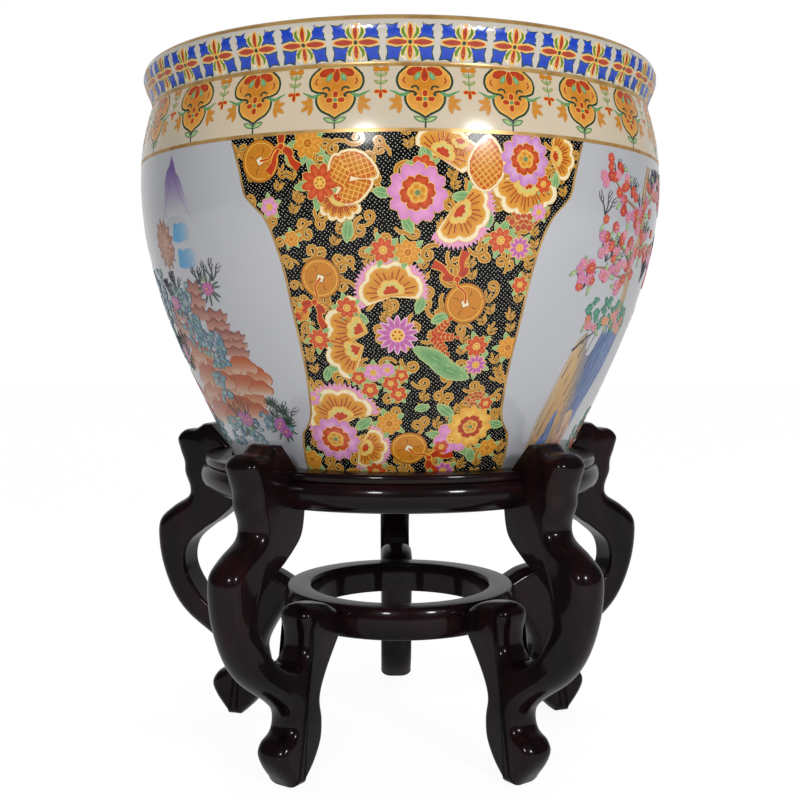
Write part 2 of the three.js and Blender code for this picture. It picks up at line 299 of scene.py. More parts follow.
def boolean(body, *tools):
    """The body with the tools cut away, as a plain mesh; the tools are removed."""
    for tool in tools:
        tune(body.modifiers.new("cut", "BOOLEAN"), operation="DIFFERENCE", solver="EXACT", object=tool)
    shade(settled(body).data)
    for tool in tools:
        bpy.data.objects.remove(tool)
    return body


def dress(piece, material, slot, body, *nodes):
    """Gives a piece its material, and puts it on its body in place of the CAD nodes; the slot is not used."""
    if material:
        piece.data.materials.clear()
        piece.data.materials.append(material)
    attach(piece, body)
    if nodes:
        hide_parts(*nodes)
    return piece


# ---------------------------------------------------------------- the bowl


def bowl_side(wall, count=48):
    """The side of the bowl above its foot, as (radius, height); the inside is the same curve one wall in."""
    foot = (BOWL_FOOT_RADIUS - wall, 0)
    belly = (BOWL_RADIUS - wall, BELLY_HEIGHT)
    neck = (NECK_RADIUS - wall, BOWL_HEIGHT - NECK_DROP)
    above_foot, below_belly = (foot[0] + 35, 70), (belly[0], belly[1] - 75)
    above_belly, below_neck = (belly[0], belly[1] + 26), (neck[0] + 5.2, neck[1] - 18)
    lower = bend(foot, above_foot, below_belly, belly, count)
    shoulder = bend(belly, above_belly, below_neck, neck, count // 2)
    return lower + shoulder[1:]


def bowl_outside():
    neck = (NECK_RADIUS, BOWL_HEIGHT - NECK_DROP)
    rim = (RIM_RADIUS, BOWL_HEIGHT - RIM_DROP)
    flare = bend(neck, (neck[0] + 0.4, neck[1] + 9), (rim[0], rim[1] - 8), rim, 16)
    lip = quarter((LIP_RADIUS, rim[1]), RIM_RADIUS - LIP_RADIUS, RIM_DROP, 0, 90, 12)
    return [(r, h + BOWL_BASE) for r, h in bowl_side(0) + flare[1:] + lip[1:]]


def bowl_inside():
    """From the lip down to the middle of the floor."""
    wall = bowl_side(BOWL_WALL)
    mouth = wall[-1][0]
    floor = FOOT_RIM_DEPTH + BOWL_FLOOR
    top = BOWL_HEIGHT
    lip = bend((LIP_RADIUS, top), (mouth + 1, top), (mouth, top - 2), (mouth, top - 9), 8)
    upper = [point for point in reversed(wall) if point[1] > floor + 15]
    reach, height = upper[-1]
    turn_in = bend((reach, height), (reach - 9, floor + 2), (reach - 14, floor), (reach - 40, floor), 10)
    return [(r, h + BOWL_BASE) for r, h in lip[1:] + upper + turn_in[1:] + [(0, floor)]]


OUTSIDE = bowl_outside()
LENGTHS = [0.0]
for (r0, h0), (r1, h1) in zip(OUTSIDE, OUTSIDE[1:]):
    LENGTHS.append(LENGTHS[-1] + math.hypot(r1 - r0, h1 - h0))


def at_length(v):
    """(radius, height, outward slope) of the bowl's outside at a length v up its side from the foot."""
    v = min(max(v, 0.001), LENGTHS[-1] - 0.001)
    i = next(k for k in range(1, len(LENGTHS)) if LENGTHS[k] >= v)
    share = (v - LENGTHS[i - 1]) / (LENGTHS[i] - LENGTHS[i - 1])
    (r0, h0), (r1, h1) = OUTSIDE[i - 1], OUTSIDE[i]
    length = math.hypot(r1 - r0, h1 - h0)
    return r0 + share * (r1 - r0), h0 + share * (h1 - h0), ((h1 - h0) / length, (r0 - r1) / length)


def make_bowl(white):
    rim_inside = BOWL_FOOT_RADIUS - FOOT_RIM_WIDTH
    recess = BOWL_BASE + FOOT_RIM_DEPTH
    base = [(0, recess), (rim_inside - FOOT_RIM_SLOPE, recess), (rim_inside, BOWL_BASE)]
    bowl = turned("porcelain_bowl", base + OUTSIDE + bowl_inside(), segments=360, closed=False)
    return dress(bowl, white, "porcelain", "planter", "bowl")


# ---------------------------------------------------------------- the rings


def upper_ring_section():
    foot = UPPER_RING_TOP - UPPER_RING_THICKNESS
    half_round_top = UPPER_RING_TOP - BEAD_HEIGHT
    height = half_round_top - foot
    widest = foot + 0.6 * height
    bead = UPPER_RING_RADIUS - BEAD_SETBACK
    groove = bead - GROOVE_DEPTH
    underside = UPPER_RING_RADIUS - 0.75 * height
    middle = half_round_top + BEAD_HEIGHT / 2
    return (
        [(UPPER_RING_BORE, foot)]
        + quarter((underside, widest), UPPER_RING_RADIUS - underside, widest - foot, -90, 0, 16)
        + quarter((groove, widest), UPPER_RING_RADIUS - groove, half_round_top - widest, 0, 90, 12)[1:]
        + quarter((groove, middle), bead - groove, BEAD_HEIGHT / 2, -60, 90, 12)
        + [(SEAT_RADIUS, UPPER_RING_TOP), (SEAT_RADIUS, UPPER_RING_TOP - SEAT_DEPTH)]
        + [(UPPER_RING_BORE, UPPER_RING_TOP - SEAT_DEPTH)]
    )


def lower_ring_section():
    foot = LOWER_RING_TOP - LOWER_RING_THICKNESS
    middle = foot + LOWER_RING_THICKNESS / 2
    edge = LOWER_RING_RADIUS - LOWER_RING_ROUND
    lip = LOWER_RING_LIP
    return (
        [(LOWER_RING_BORE, foot)]
        + quarter((edge, middle), LOWER_RING_ROUND, LOWER_RING_THICKNESS / 2, -90, 90, 24)
        + quarter((LOWER_RING_BORE + lip, LOWER_RING_TOP - lip), lip, lip, 90, 180, 6)
    )


def rod(name, radius, start, end, height, angle):
    """A plain rod that lies across the stand, from one distance from its axis to another."""
    profile = [(0, start), (radius, start), (radius, end), (0, end)]
    bar = turned(name, profile, segments=24, closed=False)
    bar.data.transform(Matrix.Rotation(math.pi / 2, 4, "Y"))
    bar.data.transform(Matrix.Translation((0, 0, height * MM)))
    bar.data.transform(Matrix.Rotation(angle, 4, "Z"))
    return bar


def make_rings(wood):
    pocket_start, pocket_end = UPPER_RING_BORE / 2, UPPER_RING_BORE + SCREW_POCKET + 3
    pockets = [
        rod(f"pocket_{i}", SCREW_POCKET_RADIUS, pocket_start, pocket_end, SCREW_HEIGHT, angle)
        for i, angle in enumerate(LEG_ANGLES)
    ]
    upper = boolean(turned("moulded_upper_ring", upper_ring_section()), *pockets)
    dress(upper, wood, "lacquered_wood", "stand", "upper_ring")
    lower = turned("stretcher_ring", lower_ring_section())
    dress(lower, wood, "lacquered_wood", "stand", "lower_ring")


# ---------------------------------------------------------------- the legs

LEG_ANGLES = [math.pi / 2 + math.tau * i / LEG_COUNT for i in range(LEG_COUNT)]


def at_upper_ring(out, up, rounding):
    return (UPPER_RING_RADIUS + out, UPPER_RING_TOP + up, rounding)


def at_lower_ring(out, up, rounding):
    return (LOWER_RING_RADIUS + out, LOWER_RING_TOP + up, rounding)


def at_shoulder(out, up, rounding):
    return (SHOULDER_REACH + out, SHOULDER_HEIGHT + up, rounding)


def at_foot(out, up, rounding):
    return (FOOT_REACH + out, up, rounding)


def leg_outline(between=7):
    """The leg's outline as (reach, height, rounding), up its inside from the sole and down its outside."""
    sole = SOLE_LENGTH / 2
    lower_foot = -LOWER_RING_THICKNESS
    upper_foot = -UPPER_RING_THICKNESS
    stem = [
        at_foot(-sole, 0, SOLE_ROUNDING),
        at_foot(-18, 12.5, 7),
        at_foot(-26.5, 28, 7),
        at_lower_ring(22, lower_foot - 53, 7),
        at_lower_ring(24, lower_foot - 37, 7),
        at_lower_ring(16.5, lower_foot - 20, 7),
        at_lower_ring(2, lower_foot + 1.5, 7),
    ]
    ring_side = [at_lower_ring(-3, lower_foot + 8, ARRIS), at_lower_ring(-3, -5, ARRIS)]
    scroll = [
        at_lower_ring(-1, -3.5, 6),
        at_lower_ring(14, 4.6, 7),
        at_lower_ring(32.5, 7.5, 7),
        at_lower_ring(42, 4.6, 7),
        at_lower_ring(44.7, -2.5, 7),
        at_lower_ring(42.2, -14, 7),
        at_lower_ring(44, -26.4, 7),
        at_lower_ring(54, -32.8, 5),
        at_lower_ring(72, -27.5, ARRIS),
        at_shoulder(-36.5, -40, ARRIS),
        at_shoulder(-28.5, -22, ARRIS),
        at_shoulder(-31.5, -4.5, ARRIS),
        at_shoulder(-45.5, 8.5, ARRIS),
        at_upper_ring(-1.5, upper_foot - 34, ARRIS),
        at_upper_ring(-17, upper_foot - 19, ARRIS),
        at_upper_ring(-21.5, upper_foot, ARRIS),
    ]
    head = [at_upper_ring(-14.5, 0, ARRIS), at_upper_ring(3.2, 19, ARRIS), at_upper_ring(8, 19.6, 4)]
    outside = [
        at_upper_ring(12, 19, 5),
        at_upper_ring(20, 14.5, 6),
        at_upper_ring(30, 13.3, 6),
        at_upper_ring(36.5, 6.5, 7),
        at_upper_ring(35.5, -4, BULLNOSE),
        at_upper_ring(32, -14, BULLNOSE),
        at_upper_ring(31.2, -24, BULLNOSE),
        at_upper_ring(26.9, -36, BULLNOSE),
        at_upper_ring(29.2, -44.1, BULLNOSE),
        at_shoulder(-14, 26.5, BULLNOSE),
        at_shoulder(-2.2, 15.5, BULLNOSE),
        at_shoulder(0, 0, BULLNOSE),
        at_shoulder(-3.6, -23.5, BULLNOSE),
        at_shoulder(-13.5, -48.5, BULLNOSE),
        at_shoulder(-28, -67, BULLNOSE),
        at_foot(19.5, 64.5, BULLNOSE),
        at_foot(8.5, 53, BULLNOSE),
        at_foot(8, 41.5, 8),
        at_foot(TOE_LENGTH - 5, 35, 7),
        at_foot(TOE_LENGTH, 26, 8),
        at_foot(TOE_LENGTH - 4.5, 14.5, 8),
        at_foot(sole, 0, SOLE_ROUNDING),
    ]
    stem, scroll, outside = (smooth_run(stations, between) for stations in (stem, scroll, outside))
    return stem + ring_side + scroll + head + outside


def rounding_inset(rounding, offset):
    """How far in from its full reach the leg's edge lies, at a distance from the middle of the plank."""
    half = LEG_THICKNESS / 2
    share = min(max((rounding - ARRIS) / (BULLNOSE - ARRIS), 0), 1)
    width = rounding + share * (half - rounding)
    along = max(0, (abs(offset) - (half - width)) / width)
    return rounding * (1 - math.sqrt(1 - min(1, along * along)))


def leg_plank(name, steps=12):
    """The leg's plank before it is coped, in layers from its back face to its front."""
    outline = leg_outline()
    count = len(outline)
    inward = []
    for i, _ in enumerate(outline):
        (x0, z0, _), (x1, z1, _) = outline[i - 1], outline[(i + 1) % count]
        length = math.hypot(x1 - x0, z1 - z0)
        inward.append(((z1 - z0) / length, (x0 - x1) / length))
    layers = [math.sin(math.pi / 2 * k / steps) * LEG_THICKNESS / 2 for k in range(-steps, steps + 1)]
    points, faces = [], []
    for offset in layers:
        for (x, z, rounding), (nx, nz) in zip(outline, inward):
            inset = rounding_inset(rounding, offset)
            points.append((x + nx * inset, offset, z + nz * inset))
    for layer in range(len(layers) - 1):
        for i in range(count):
            a, b = layer * count + i, layer * count + (i + 1) % count
            faces.append((a, b, b + count, a + count))
    last = (len(layers) - 1) * count
    faces.append(tuple(range(count))[::-1])
    faces.append(tuple(range(last, last + count)))
    return object_from(name, points, faces)


def grown(profile, distance):
    """A closed profile moved out by a distance, square to each of its sides."""
    count = len(profile)
    moved = []
    for i, (x, y) in enumerate(profile):
        sides = []
        for (x0, y0), (x1, y1) in ((profile[i - 1], (x, y)), ((x, y), profile[(i + 1) % count])):
            length = math.hypot(x1 - x0, y1 - y0)
            sides.append(((y1 - y0) / length, (x0 - x1) / length))
        reach = distance / (1 + sides[0][0] * sides[1][0] + sides[0][1] * sides[1][1])
        moved.append((x + (sides[0][0] + sides[1][0]) * reach, y + (sides[0][1] + sides[1][1]) * reach))
    return moved


def make_legs(wood):
    """One leg coped round both rings, and its copies turned about the stand's axis."""
    pattern = boolean(
        leg_plank("leg_pattern"),
        turned("upper_housing", grown(upper_ring_section(), COPING_GAP)),
        turned("lower_housing", grown(lower_ring_section(), COPING_GAP)),
    )
    for i, angle in enumerate(LEG_ANGLES):
        mesh = pattern.data.copy()
        mesh.transform(Matrix.Rotation(angle, 4, "Z"))
        leg = bpy.data.objects.new(f"scroll_leg_{i + 1}", mesh)
        bpy.context.scene.collection.objects.link(leg)
        dress(leg, wood, "lacquered_wood", "stand", f"leg_{i + 1}")
    bpy.data.objects.remove(pattern)


# ---------------------------------------------------------------- enamels on the bowl
#
# A place on the bowl is (theta, v): degrees round from the front, and millimetres up its side from the foot.
# A motif is drawn flat in millimetres, x to the right and y up, at a spot (theta, v, turn, size).

INK = (4, 3, 5)
GOLD_LINE = (224, 180, 98)
OLD_GOLD = (188, 128, 40)
AMBER = (202, 126, 34)
SUN = (236, 186, 84)
VERMILION = (190, 62, 26)
RUST = (164, 56, 32)
TERRACOTTA = (176, 92, 56)
PINK = (216, 132, 176)
BLUSH = (240, 198, 208)
LEAF = (98, 150, 96)
PALE_LEAF = (186, 204, 140)
MINT = (132, 184, 140)
CREAM = (240, 224, 186)
COBALT, BRIGHT_COBALT = (24, 62, 180), (34, 76, 196)
SPROUT, BRIGHT_SPROUT = (84, 132, 40), (106, 150, 52)
PINE = (44, 66, 52)
SKY = (84, 154, 200)
PLUM = (108, 84, 146)
COIN_LINE = (118, 70, 22)
LAPPET_EDGE = (222, 158, 74)
DULL_LEAF = (122, 150, 108)
SPRIG_STEM = (122, 96, 36)

GROUND_LIFT = 0.08  # of the black ground, over the glaze
FIRST_LIFT = 0.12  # of enamel at level 0
LEVEL_STEP = 0.03
SKIRT = -0.12  # how deep an enamel's side runs down into the glaze
SHADED_FROM = 2.5  # a pad's reach from which it is shaded
RING_PITCH = 5  # the widest step between a pad's rings


def mixed(first, second, share):
    return tuple(a + (b - a) * share for a, b in zip(first, second))


def on_bowl(theta, v, lift=0.0):
    radius, height, (out, up) = at_length(v)
    reach = radius + out * lift
    angle = math.radians(theta)
    return (reach * math.sin(angle), -reach * math.cos(angle), height + up * lift)


def spin(outline, turn):
    c, s = math.cos(math.radians(turn)), math.sin(math.radians(turn))
    return [(x * c - y * s, x * s + y * c) for x, y in outline]


def shifted(outline, x, y):
    return [(px + x, py + y) for px, py in outline]


def circle(radius, count=12, x=0.0, y=0.0):
    angles = [math.tau * i / count for i in range(count)]
    return [(x + radius * math.cos(a), y + radius * math.sin(a)) for a in angles]


def petal(length, width, start=0.0, notch=0.0, point=0.0, count=12):
    """A petal's outline, out along +Y; notch dents its tip, and point draws the tip out."""
    outline = []
    for i in range(count):
        a = math.tau * i / count - math.pi / 2
        up = (math.sin(a) + 1) / 2
        x = math.cos(a) * width / 2 * min(1, 0.55 + 0.6 * up) * (1 - point * max(0, up - 0.45))
        dent = notch * max(0, up - 0.7) / 0.3 * max(0, 1 - abs(x) / (0.3 * width))
        outline.append((x, start + length * (up - dent)))
    return outline


def lobed(reach, spread, lobes, depth, base=0.12):
    """A fan's outline: an arc of lobes about +Y over a spread in degrees, and a small foot."""
    outline = [(0, -base * reach)]
    steps = 4 * lobes
    for i in range(steps + 1):
        a = math.radians(90 - spread / 2 + spread * i / steps)
        r = reach * (1 - depth + depth * abs(math.sin(math.pi * lobes * i / steps)) ** 0.6)
        outline.append((r * math.cos(a), r * math.sin(a)))
    return outline


class Enamel:
    """Raised enamel on the outside of the bowl: one mesh, with its colours in the attribute tint."""

    def __init__(self, kept_in=None):
        self.points, self.faces, self.tints = [], [], []
        self.kept_in = kept_in

    def point(self, spot, x, y, lift, tint):
        """A tint may be a colour, or a function of x and y."""
        theta, v, turn, size = spot
        c, s = math.cos(math.radians(turn)) * size, math.sin(math.radians(turn)) * size
        theta += math.degrees((x * c - y * s) / at_length(v)[0])
        v += x * s + y * c
        if self.kept_in:
            theta, v = self.kept_in(theta, v)
        self.points.append(on_bowl(theta, v, lift))
        self.tints.append(tint(x, y) if callable(tint) else tint)
        return len(self.points) - 1

    def pad(self, spot, outline, level, centre, edge=None, heart=None, swell=1.6):
        """A closed outline filled with enamel, shaded from its heart to its edge."""
        count = len(outline)
        hx, hy = heart or (sum(x for x, _ in outline) / count, sum(y for _, y in outline) / count)
        reach = spot[3] * max(math.hypot(x - hx, y - hy) for x, y in outline)
        shaded = callable(centre) or (edge and reach > SHADED_FROM)
        rings = max(3 if shaded else 1, math.ceil(reach / RING_PITCH))
        edge = edge or centre
        lift = FIRST_LIFT + LEVEL_STEP * level
        hub = self.point(spot, hx, hy, lift, centre)
        loops = []
        for ring in range(1, rings + 1):
            share = ring / rings
            tint = centre if callable(centre) else mixed(centre, edge, share**swell)
            places = [(hx + (x - hx) * share, hy + (y - hy) * share) for x, y in outline]
            loops.append([self.point(spot, x, y, lift, tint) for x, y in places])
        loops.append([self.point(spot, x, y, SKIRT, edge) for x, y in outline])
        for i in range(count):
            j = (i + 1) % count
            self.faces.append((hub, loops[0][i], loops[0][j]))
            for inner, outer in zip(loops, loops[1:]):
                self.faces.append((inner[i], outer[i], outer[j], inner[j]))

    def edged(self, spot, outline, level, line, centre, edge=None, width=0.45, heart=None):
        """A pad with a line of another colour showing all round it."""
        self.pad(spot, grown(outline, width / spot[3]), level, line, heart=heart)
        self.pad(spot, outline, level + 1, centre, edge, heart=heart)

    def stroke(self, spot, path, width, level, tint, ridge=0.05):
        """A line of enamel along a path; a path point's third number, where it has one, is its own width."""
        lift = FIRST_LIFT + LEVEL_STEP * level
        rows = []
        for i, here in enumerate(path):
            x0, y0 = path[max(i - 1, 0)][:2]
            x1, y1 = path[min(i + 1, len(path) - 1)][:2]
            length = math.hypot(x1 - x0, y1 - y0) or 1
            half = (here[2] if len(here) > 2 else width) / 2
            nx, ny = -(y1 - y0) / length * half, (x1 - x0) / length * half
            x, y = here[:2]
            across = ((1, SKIRT), (1, lift), (0, lift + ridge), (-1, lift), (-1, SKIRT))
            rows.append([self.point(spot, x + nx * side, y + ny * side, rise, tint) for side, rise in across])
        for low, high in zip(rows, rows[1:]):
            for k in range(4):
                self.faces.append((low[k], low[k + 1], high[k + 1], high[k]))
        self.faces.append(tuple(reversed(rows[0])))
        self.faces.append(tuple(rows[-1]))

    def dots(self, spot, places, radius, level, tint):
        for x, y in places:
            self.pad(spot, circle(radius, 7, x, y), level, tint)

    def made(self, name, material):
        thing = object_from(name, self.points, self.faces, 60)
        tint = thing.data.attributes.new("tint", "FLOAT_COLOR", "POINT")
        tint.data.foreach_set("color", [part for colour in self.tints for part in linear(colour)])
        if self.kept_in:
            flat = bmesh.new()
            flat.from_mesh(thing.data)
            bmesh.ops.dissolve_degenerate(flat, dist=2e-6, edges=flat.edges)
            flat.to_mesh(thing.data)
            flat.free()
            shade(thing.data, 60)
        thing.data.materials.append(material)
        return thing


# ---------------------------------------------------------------- motifs


def inside(outline, x, y):
    hits = False
    for (x0, y0), (x1, y1) in zip(outline, outline[1:] + outline[:1]):
        if (y0 > y) != (y1 > y) and x < x0 + (y - y0) * (x1 - x0) / (y1 - y0):
            hits = not hits
    return hits


def set_petal(length, width, turn, x=0.0, y=0.0, **form):
    """A petal's outline, turned, with its root at a place."""
    return shifted(spin(petal(length, width, **form), turn), x, y)


def leaf(enamel, spot, length, width, level, colour=LEAF, rim=PALE_LEAF):
    enamel.edged(spot, petal(length, width, point=0.9), level, rim, colour, mixed(colour, rim, 0.55))
    enamel.stroke(spot, [(0, 0.08 * length), (0, 0.5 * length), (0, 0.86 * length)], 0.4, level + 2, rim)


def blossom(enamel, spot, radius, petals, colours, level, sepals=0, notch=0.0, point=0.0, heart=0.3):
    """A flower of one ring of petals. Its colours: the line, the petals' edge, their root, and the heart."""
    line, edge, root, middle = colours
    theta, v, turn, size = spot
    for i in range(sepals):
        behind = (theta, v, turn + 360 * (i + 0.5) / sepals, size)
        leaf(enamel, behind, radius * 1.42, radius * 0.62, level - 3)
    width = 2.1 * 0.68 * radius * math.tan(math.pi / petals)
    for i in range(petals):
        shape = set_petal(radius * 0.9, width, 360 * i / petals, start=radius * 0.1, notch=notch, point=point)
        enamel.edged(spot, shape, level, line, root, edge)
    enamel.edged(spot, circle(radius * heart, 10), level + 2, line, middle)
    enamel.dots(spot, circle(radius * heart * 0.6, 6), radius * heart * 0.17, level + 4, RUST)


def peony(enamel, spot, radius, outer, inner, level):
    """A big flower: an outer ring of broad petals, an inner flower and a small heart."""
    theta, v, turn, size = spot
    blossom(enamel, spot, radius, 6, outer, level, notch=0.22)
    blossom(enamel, (theta, v, turn + 30, size), radius * 0.58, 6, inner, level + 4, notch=0.15)
    blossom(enamel, spot, radius * 0.3, 5, (GOLD_LINE, SUN, AMBER, LEAF), level + 8)


def fan_flower(enamel, spot, reach, spread, lobes, level, fringe=None):
    """Half a flower seen from the side: a scalloped pale rim, ribs, and where asked a fringe of points."""
    heart = (0, 0.3 * reach)
    if fringe:
        spikes = [(0, -0.1 * reach)]
        steps = round(spread / 3.6)
        for i in range(steps + 1):
            a = math.radians(90 - spread / 2 + spread * i / steps)
            r = reach * (1.19 if i % 2 else 1.05)
            spikes.append((r * math.cos(a), r * math.sin(a)))
        enamel.pad(spot, spikes, level, fringe, mixed(fringe, BLUSH, 0.4), heart=heart)
    field = lobed(reach * 0.86, spread * 0.96, lobes, 0.14)
    enamel.edged(spot, lobed(reach, spread, lobes, 0.13), level + 1, GOLD_LINE, CREAM, heart=heart)
    enamel.edged(spot, field, level + 3, GOLD_LINE, AMBER, mixed(AMBER, SUN, 0.5), heart=heart)
    for i in range(lobes):
        turn = -spread / 2 + spread * (i + 0.5) / lobes
        for side, share in ((-0.28, 0.68), (0, 0.78), (0.28, 0.68)):
            a = math.radians(90 - turn + side * spread / lobes)
            stations = (0.42, 0.42 + (share - 0.42) / 2, share)
            path = [(reach * k * math.cos(a), reach * k * math.sin(a)) for k in stations]
            enamel.stroke(spot, path, 0.8, level + 5, RUST)
    outer = lobed(reach * 0.42, spread * 0.94, lobes, 0.16)
    inner = lobed(reach * 0.24, spread * 0.9, lobes, 0.2)
    enamel.edged(spot, outer, level + 6, GOLD_LINE, PALE_LEAF, SUN, heart=(0, 0.12 * reach))
    enamel.edged(spot, inner, level + 8, GOLD_LINE, VERMILION, heart=(0, 0.07 * reach))


def lattice_leaf(enamel, spot, length, width, level):
    """A broad pointed leaf with a pale rim, filled with crossed bars."""
    shape = petal(length, width, point=0.55, count=16)
    enamel.edged(spot, shape, level, GOLD_LINE, CREAM)
    field = grown(shape, -1.5)
    enamel.edged(spot, field, level + 2, GOLD_LINE, AMBER, mixed(AMBER, VERMILION, 0.6), width=0.3)
    span = max(length, width)
    for slope in (45, -45):
        c, s = math.cos(math.radians(slope)), math.sin(math.radians(slope))
        for line in range(-8, 9):
            offset = line * LATTICE_PITCH
            run = []
            for k in range(-14, 15):
                along = span * k / 20
                x, y = along * c - offset * s, length / 2 + along * s + offset * c
                if inside(field, x, y):
                    run.append((x, y))
            if len(run) > 1:
                enamel.stroke(spot, run, 0.55, level + 4, SUN, ridge=0.02)


def coin(enamel, spot, radius, level, hang=0.0):
    """A round charm with a square hole, hung on a ribbon tied in a bow; hang turns the ribbon's tails."""
    enamel.edged(spot, circle(radius, 32), level, COIN_LINE, AMBER, mixed(AMBER, OLD_GOLD, 0.35))
    enamel.stroke(spot, circle(radius * 0.86, 33), 0.55, level + 2, SUN)
    hole = [(-2.2, -2.2), (2.2, -2.2), (2.2, 2.2), (-2.2, 2.2)]
    enamel.edged(spot, hole, level + 2, COIN_LINE, CREAM)
    for turn in (45, 135, 225, 315):
        mark = spin([(0, radius * 0.38), (0.9, radius * 0.52), (0, radius * 0.66)], turn)
        enamel.stroke(spot, mark, 0.5, level + 2, COIN_LINE)
    top = radius * 1.3
    cord = smooth_run([(0, 0), (2, radius * 0.5), (-1, radius * 0.95), (0, top)], 5)
    enamel.stroke(spot, cord, 2.1, level + 4, SUN)
    enamel.stroke(spot, cord, 1.2, level + 5, VERMILION, ridge=0.09)
    for side in (-1, 1):
        loop = set_petal(radius * 0.75, radius * 0.42, side * -62, 0, top)
        enamel.edged(spot, loop, level + 4, SUN, RUST, VERMILION)
        tail = [(0, 0, 0.14), (side * 0.34, 0.36, 0.2), (side * 0.5, 0.78, 0.3), (side * 0.82, 1.12, 0.42)]
        hung = [spin([(x * radius, y * radius)], hang)[0] + (w * radius,) for x, y, w in tail]
        path = smooth_run([(x, y + top, w) for x, y, w in hung], 4)
        enamel.stroke(spot, [(x, y, w + 0.9) for x, y, w in path], 0, level + 3, SUN)
        enamel.stroke(spot, path, 0, level + 4, VERMILION)
    enamel.edged(spot, circle(radius * 0.15, 8, 0, top), level + 6, SUN, VERMILION)


CURL_ARMS = [  # x, y and width along each arm of a scroll
    [
        (-8, -3, 1.0), (-4, -3.6, 1.9), (0.4, -1.6, 2.3), (2.2, 2.2, 2.1), (0, 5, 1.9), (-3.1, 3.8, 1.8),
        (-2.6, 1.2, 2.4),
    ],
    [(0.4, -1.6, 2.0), (4.2, -2.4, 2.0), (7.2, -0.4, 1.8), (6.8, 2.6, 1.8), (4.6, 2.4, 2.3)],
    [(-4, -3.6, 1.8), (-3.4, -6.4, 1.8), (-0.4, -7.6, 1.6), (1.2, -5.4, 2.2)],
]


def curl(enamel, spot, extra_arms):
    """A gold scroll: a hooked stem with a round end, and on some a second or a third arm."""
    for arm in CURL_ARMS[: extra_arms + 1]:
        path = smooth_run(arm, 3)
        x, y, w = arm[-1]
        enamel.stroke(spot, [(px, py, pw + 0.85) for px, py, pw in path], 0, 1, GOLD_LINE, ridge=0.0)
        enamel.pad(spot, circle(w * 0.72 + 0.42, 9, x, y), 1, GOLD_LINE)
        enamel.stroke(spot, [(px, py, pw * 0.9) for px, py, pw in path], 0, 2, OLD_GOLD, ridge=0.02)
        enamel.pad(spot, circle(w * 0.6, 8, x, y), 2, OLD_GOLD)


def sprig(enamel, spot, pairs):
    """A bent stem with pairs of narrow leaves."""
    path = smooth_run([(0, 0), (1.2, pairs * 1.8), (-0.4, pairs * 3.6)], 3)
    enamel.stroke(spot, path, 0.6, 1, SPRIG_STEM)
    places = [path[min(len(path) - 1, round((k + 0.5) * (len(path) - 1) / pairs))][:2] for k in range(pairs)]
    leaves = [(side * -48, x, y) for x, y in places for side in (-1, 1)] + [(0, *path[-1][:2])]
    for turn, x, y in leaves:
        blade = set_petal(4.6, 1.9, turn, x, y, point=0.8, count=8)
        enamel.edged(spot, blade, 1, GOLD_LINE, OLD_GOLD, width=0.28)


def feather(enamel, spot, pairs, level):
    """A toothed red leaf built of small scales."""
    for k in range(pairs):
        reach = 3.4 * (1 - 0.45 * k / pairs)
        for side in (-1, 1):
            scale = set_petal(reach, 2.2, side * -52, 0, k * 2.1, point=0.6, count=8)
            enamel.edged(spot, scale, level + k % 2, GOLD_LINE, VERMILION, width=0.35)
    tip = set_petal(3, 2, 0, 0, pairs * 2.1, point=0.7, count=8)
    enamel.edged(spot, tip, level + 1, GOLD_LINE, VERMILION, width=0.35)


def berries(enamel, spot, rows, level):
    """A cluster of round fruits, set in rows under one another."""
    for row in range(rows):
        for k in range(rows + 2 - row):
            x = (k - (rows + 1 - row) / 2) * 4.3
            fruit = circle(2.3, 9, x, -row * 3.6 - 0.05 * x * x)
            enamel.edged(spot, fruit, level + 2 * (row % 2), GOLD_LINE, VERMILION, TERRACOTTA, width=0.4)


# ---------------------------------------------------------------- the brocade panels

FRONT = 0.3  # degrees round from -Y to the middle of the front panel
RESERVE_TOP = 244.2
LATTICE_PITCH = 3.1  # of the crossed bars
PANEL_LINE = 0.85  # half the width of the gold line down each of the panel's edges
DOT_PITCH = 2.05
DOT_RADIUS = 0.31
DOT_DISORDER = 0.34
DOT_ROWS_TURN = 38  # degrees
DOT_PALE = (206, 202, 184)
PANEL_EDGE = [  # height up the side, and half the panel's width in degrees
    (-12, 31.5), (4, 30.9), (20, 30.5), (36, 29.2), (42, 27.4), (50, 25.6), (62, 24.6), (90, 23.9),
    (120, 24.2), (155, 24.9), (178, 26.3), (192, 28.0), (201, 30.4), (208, 32.0), (224, 33.0), (238, 34.2),
    (246, 35.2), (252, 36.0),
]
EDGE_CURVE = smooth_run(PANEL_EDGE, 6)


def panel_half(v):
    for (v0, half0), (v1, half1) in zip(EDGE_CURVE, EDGE_CURVE[1:]):
        if v0 <= v <= v1:
            return half0 + (half1 - half0) * (v - v0) / (v1 - v0)
    return PANEL_EDGE[-1][1]


def brocade_ground(material, rows=100, columns=64):
    """The black ground, with millimetres round and up the bowl as its UV."""
    points, uvs, faces = [], [], []
    for i in range(rows + 1):
        v = 1 + (RESERVE_TOP - 1) * i / rows
        for j in range(-1, columns + 2):
            share = min(max(2 * j / columns - 1, -1), 1)
            theta = FRONT + share * panel_half(v)
            points.append(on_bowl(theta, v, SKIRT if j in (-1, columns + 1) else GROUND_LIFT))
            uvs.append((math.radians(share * panel_half(v)) * at_length(v)[0], v))
    wide = columns + 3
    for i in range(rows):
        for j in range(wide - 1):
            a = i * wide + j
            faces.append((a, a + 1, a + wide + 1, a + wide))
    ground = object_from("brocade_ground_front", points, faces, 60)
    layer = ground.data.uv_layers.new(name="UVMap")
    for loop in ground.data.loops:
        layer.data[loop.index].uv = uvs[loop.vertex_index]
    ground.data.materials.append(material)
    return ground


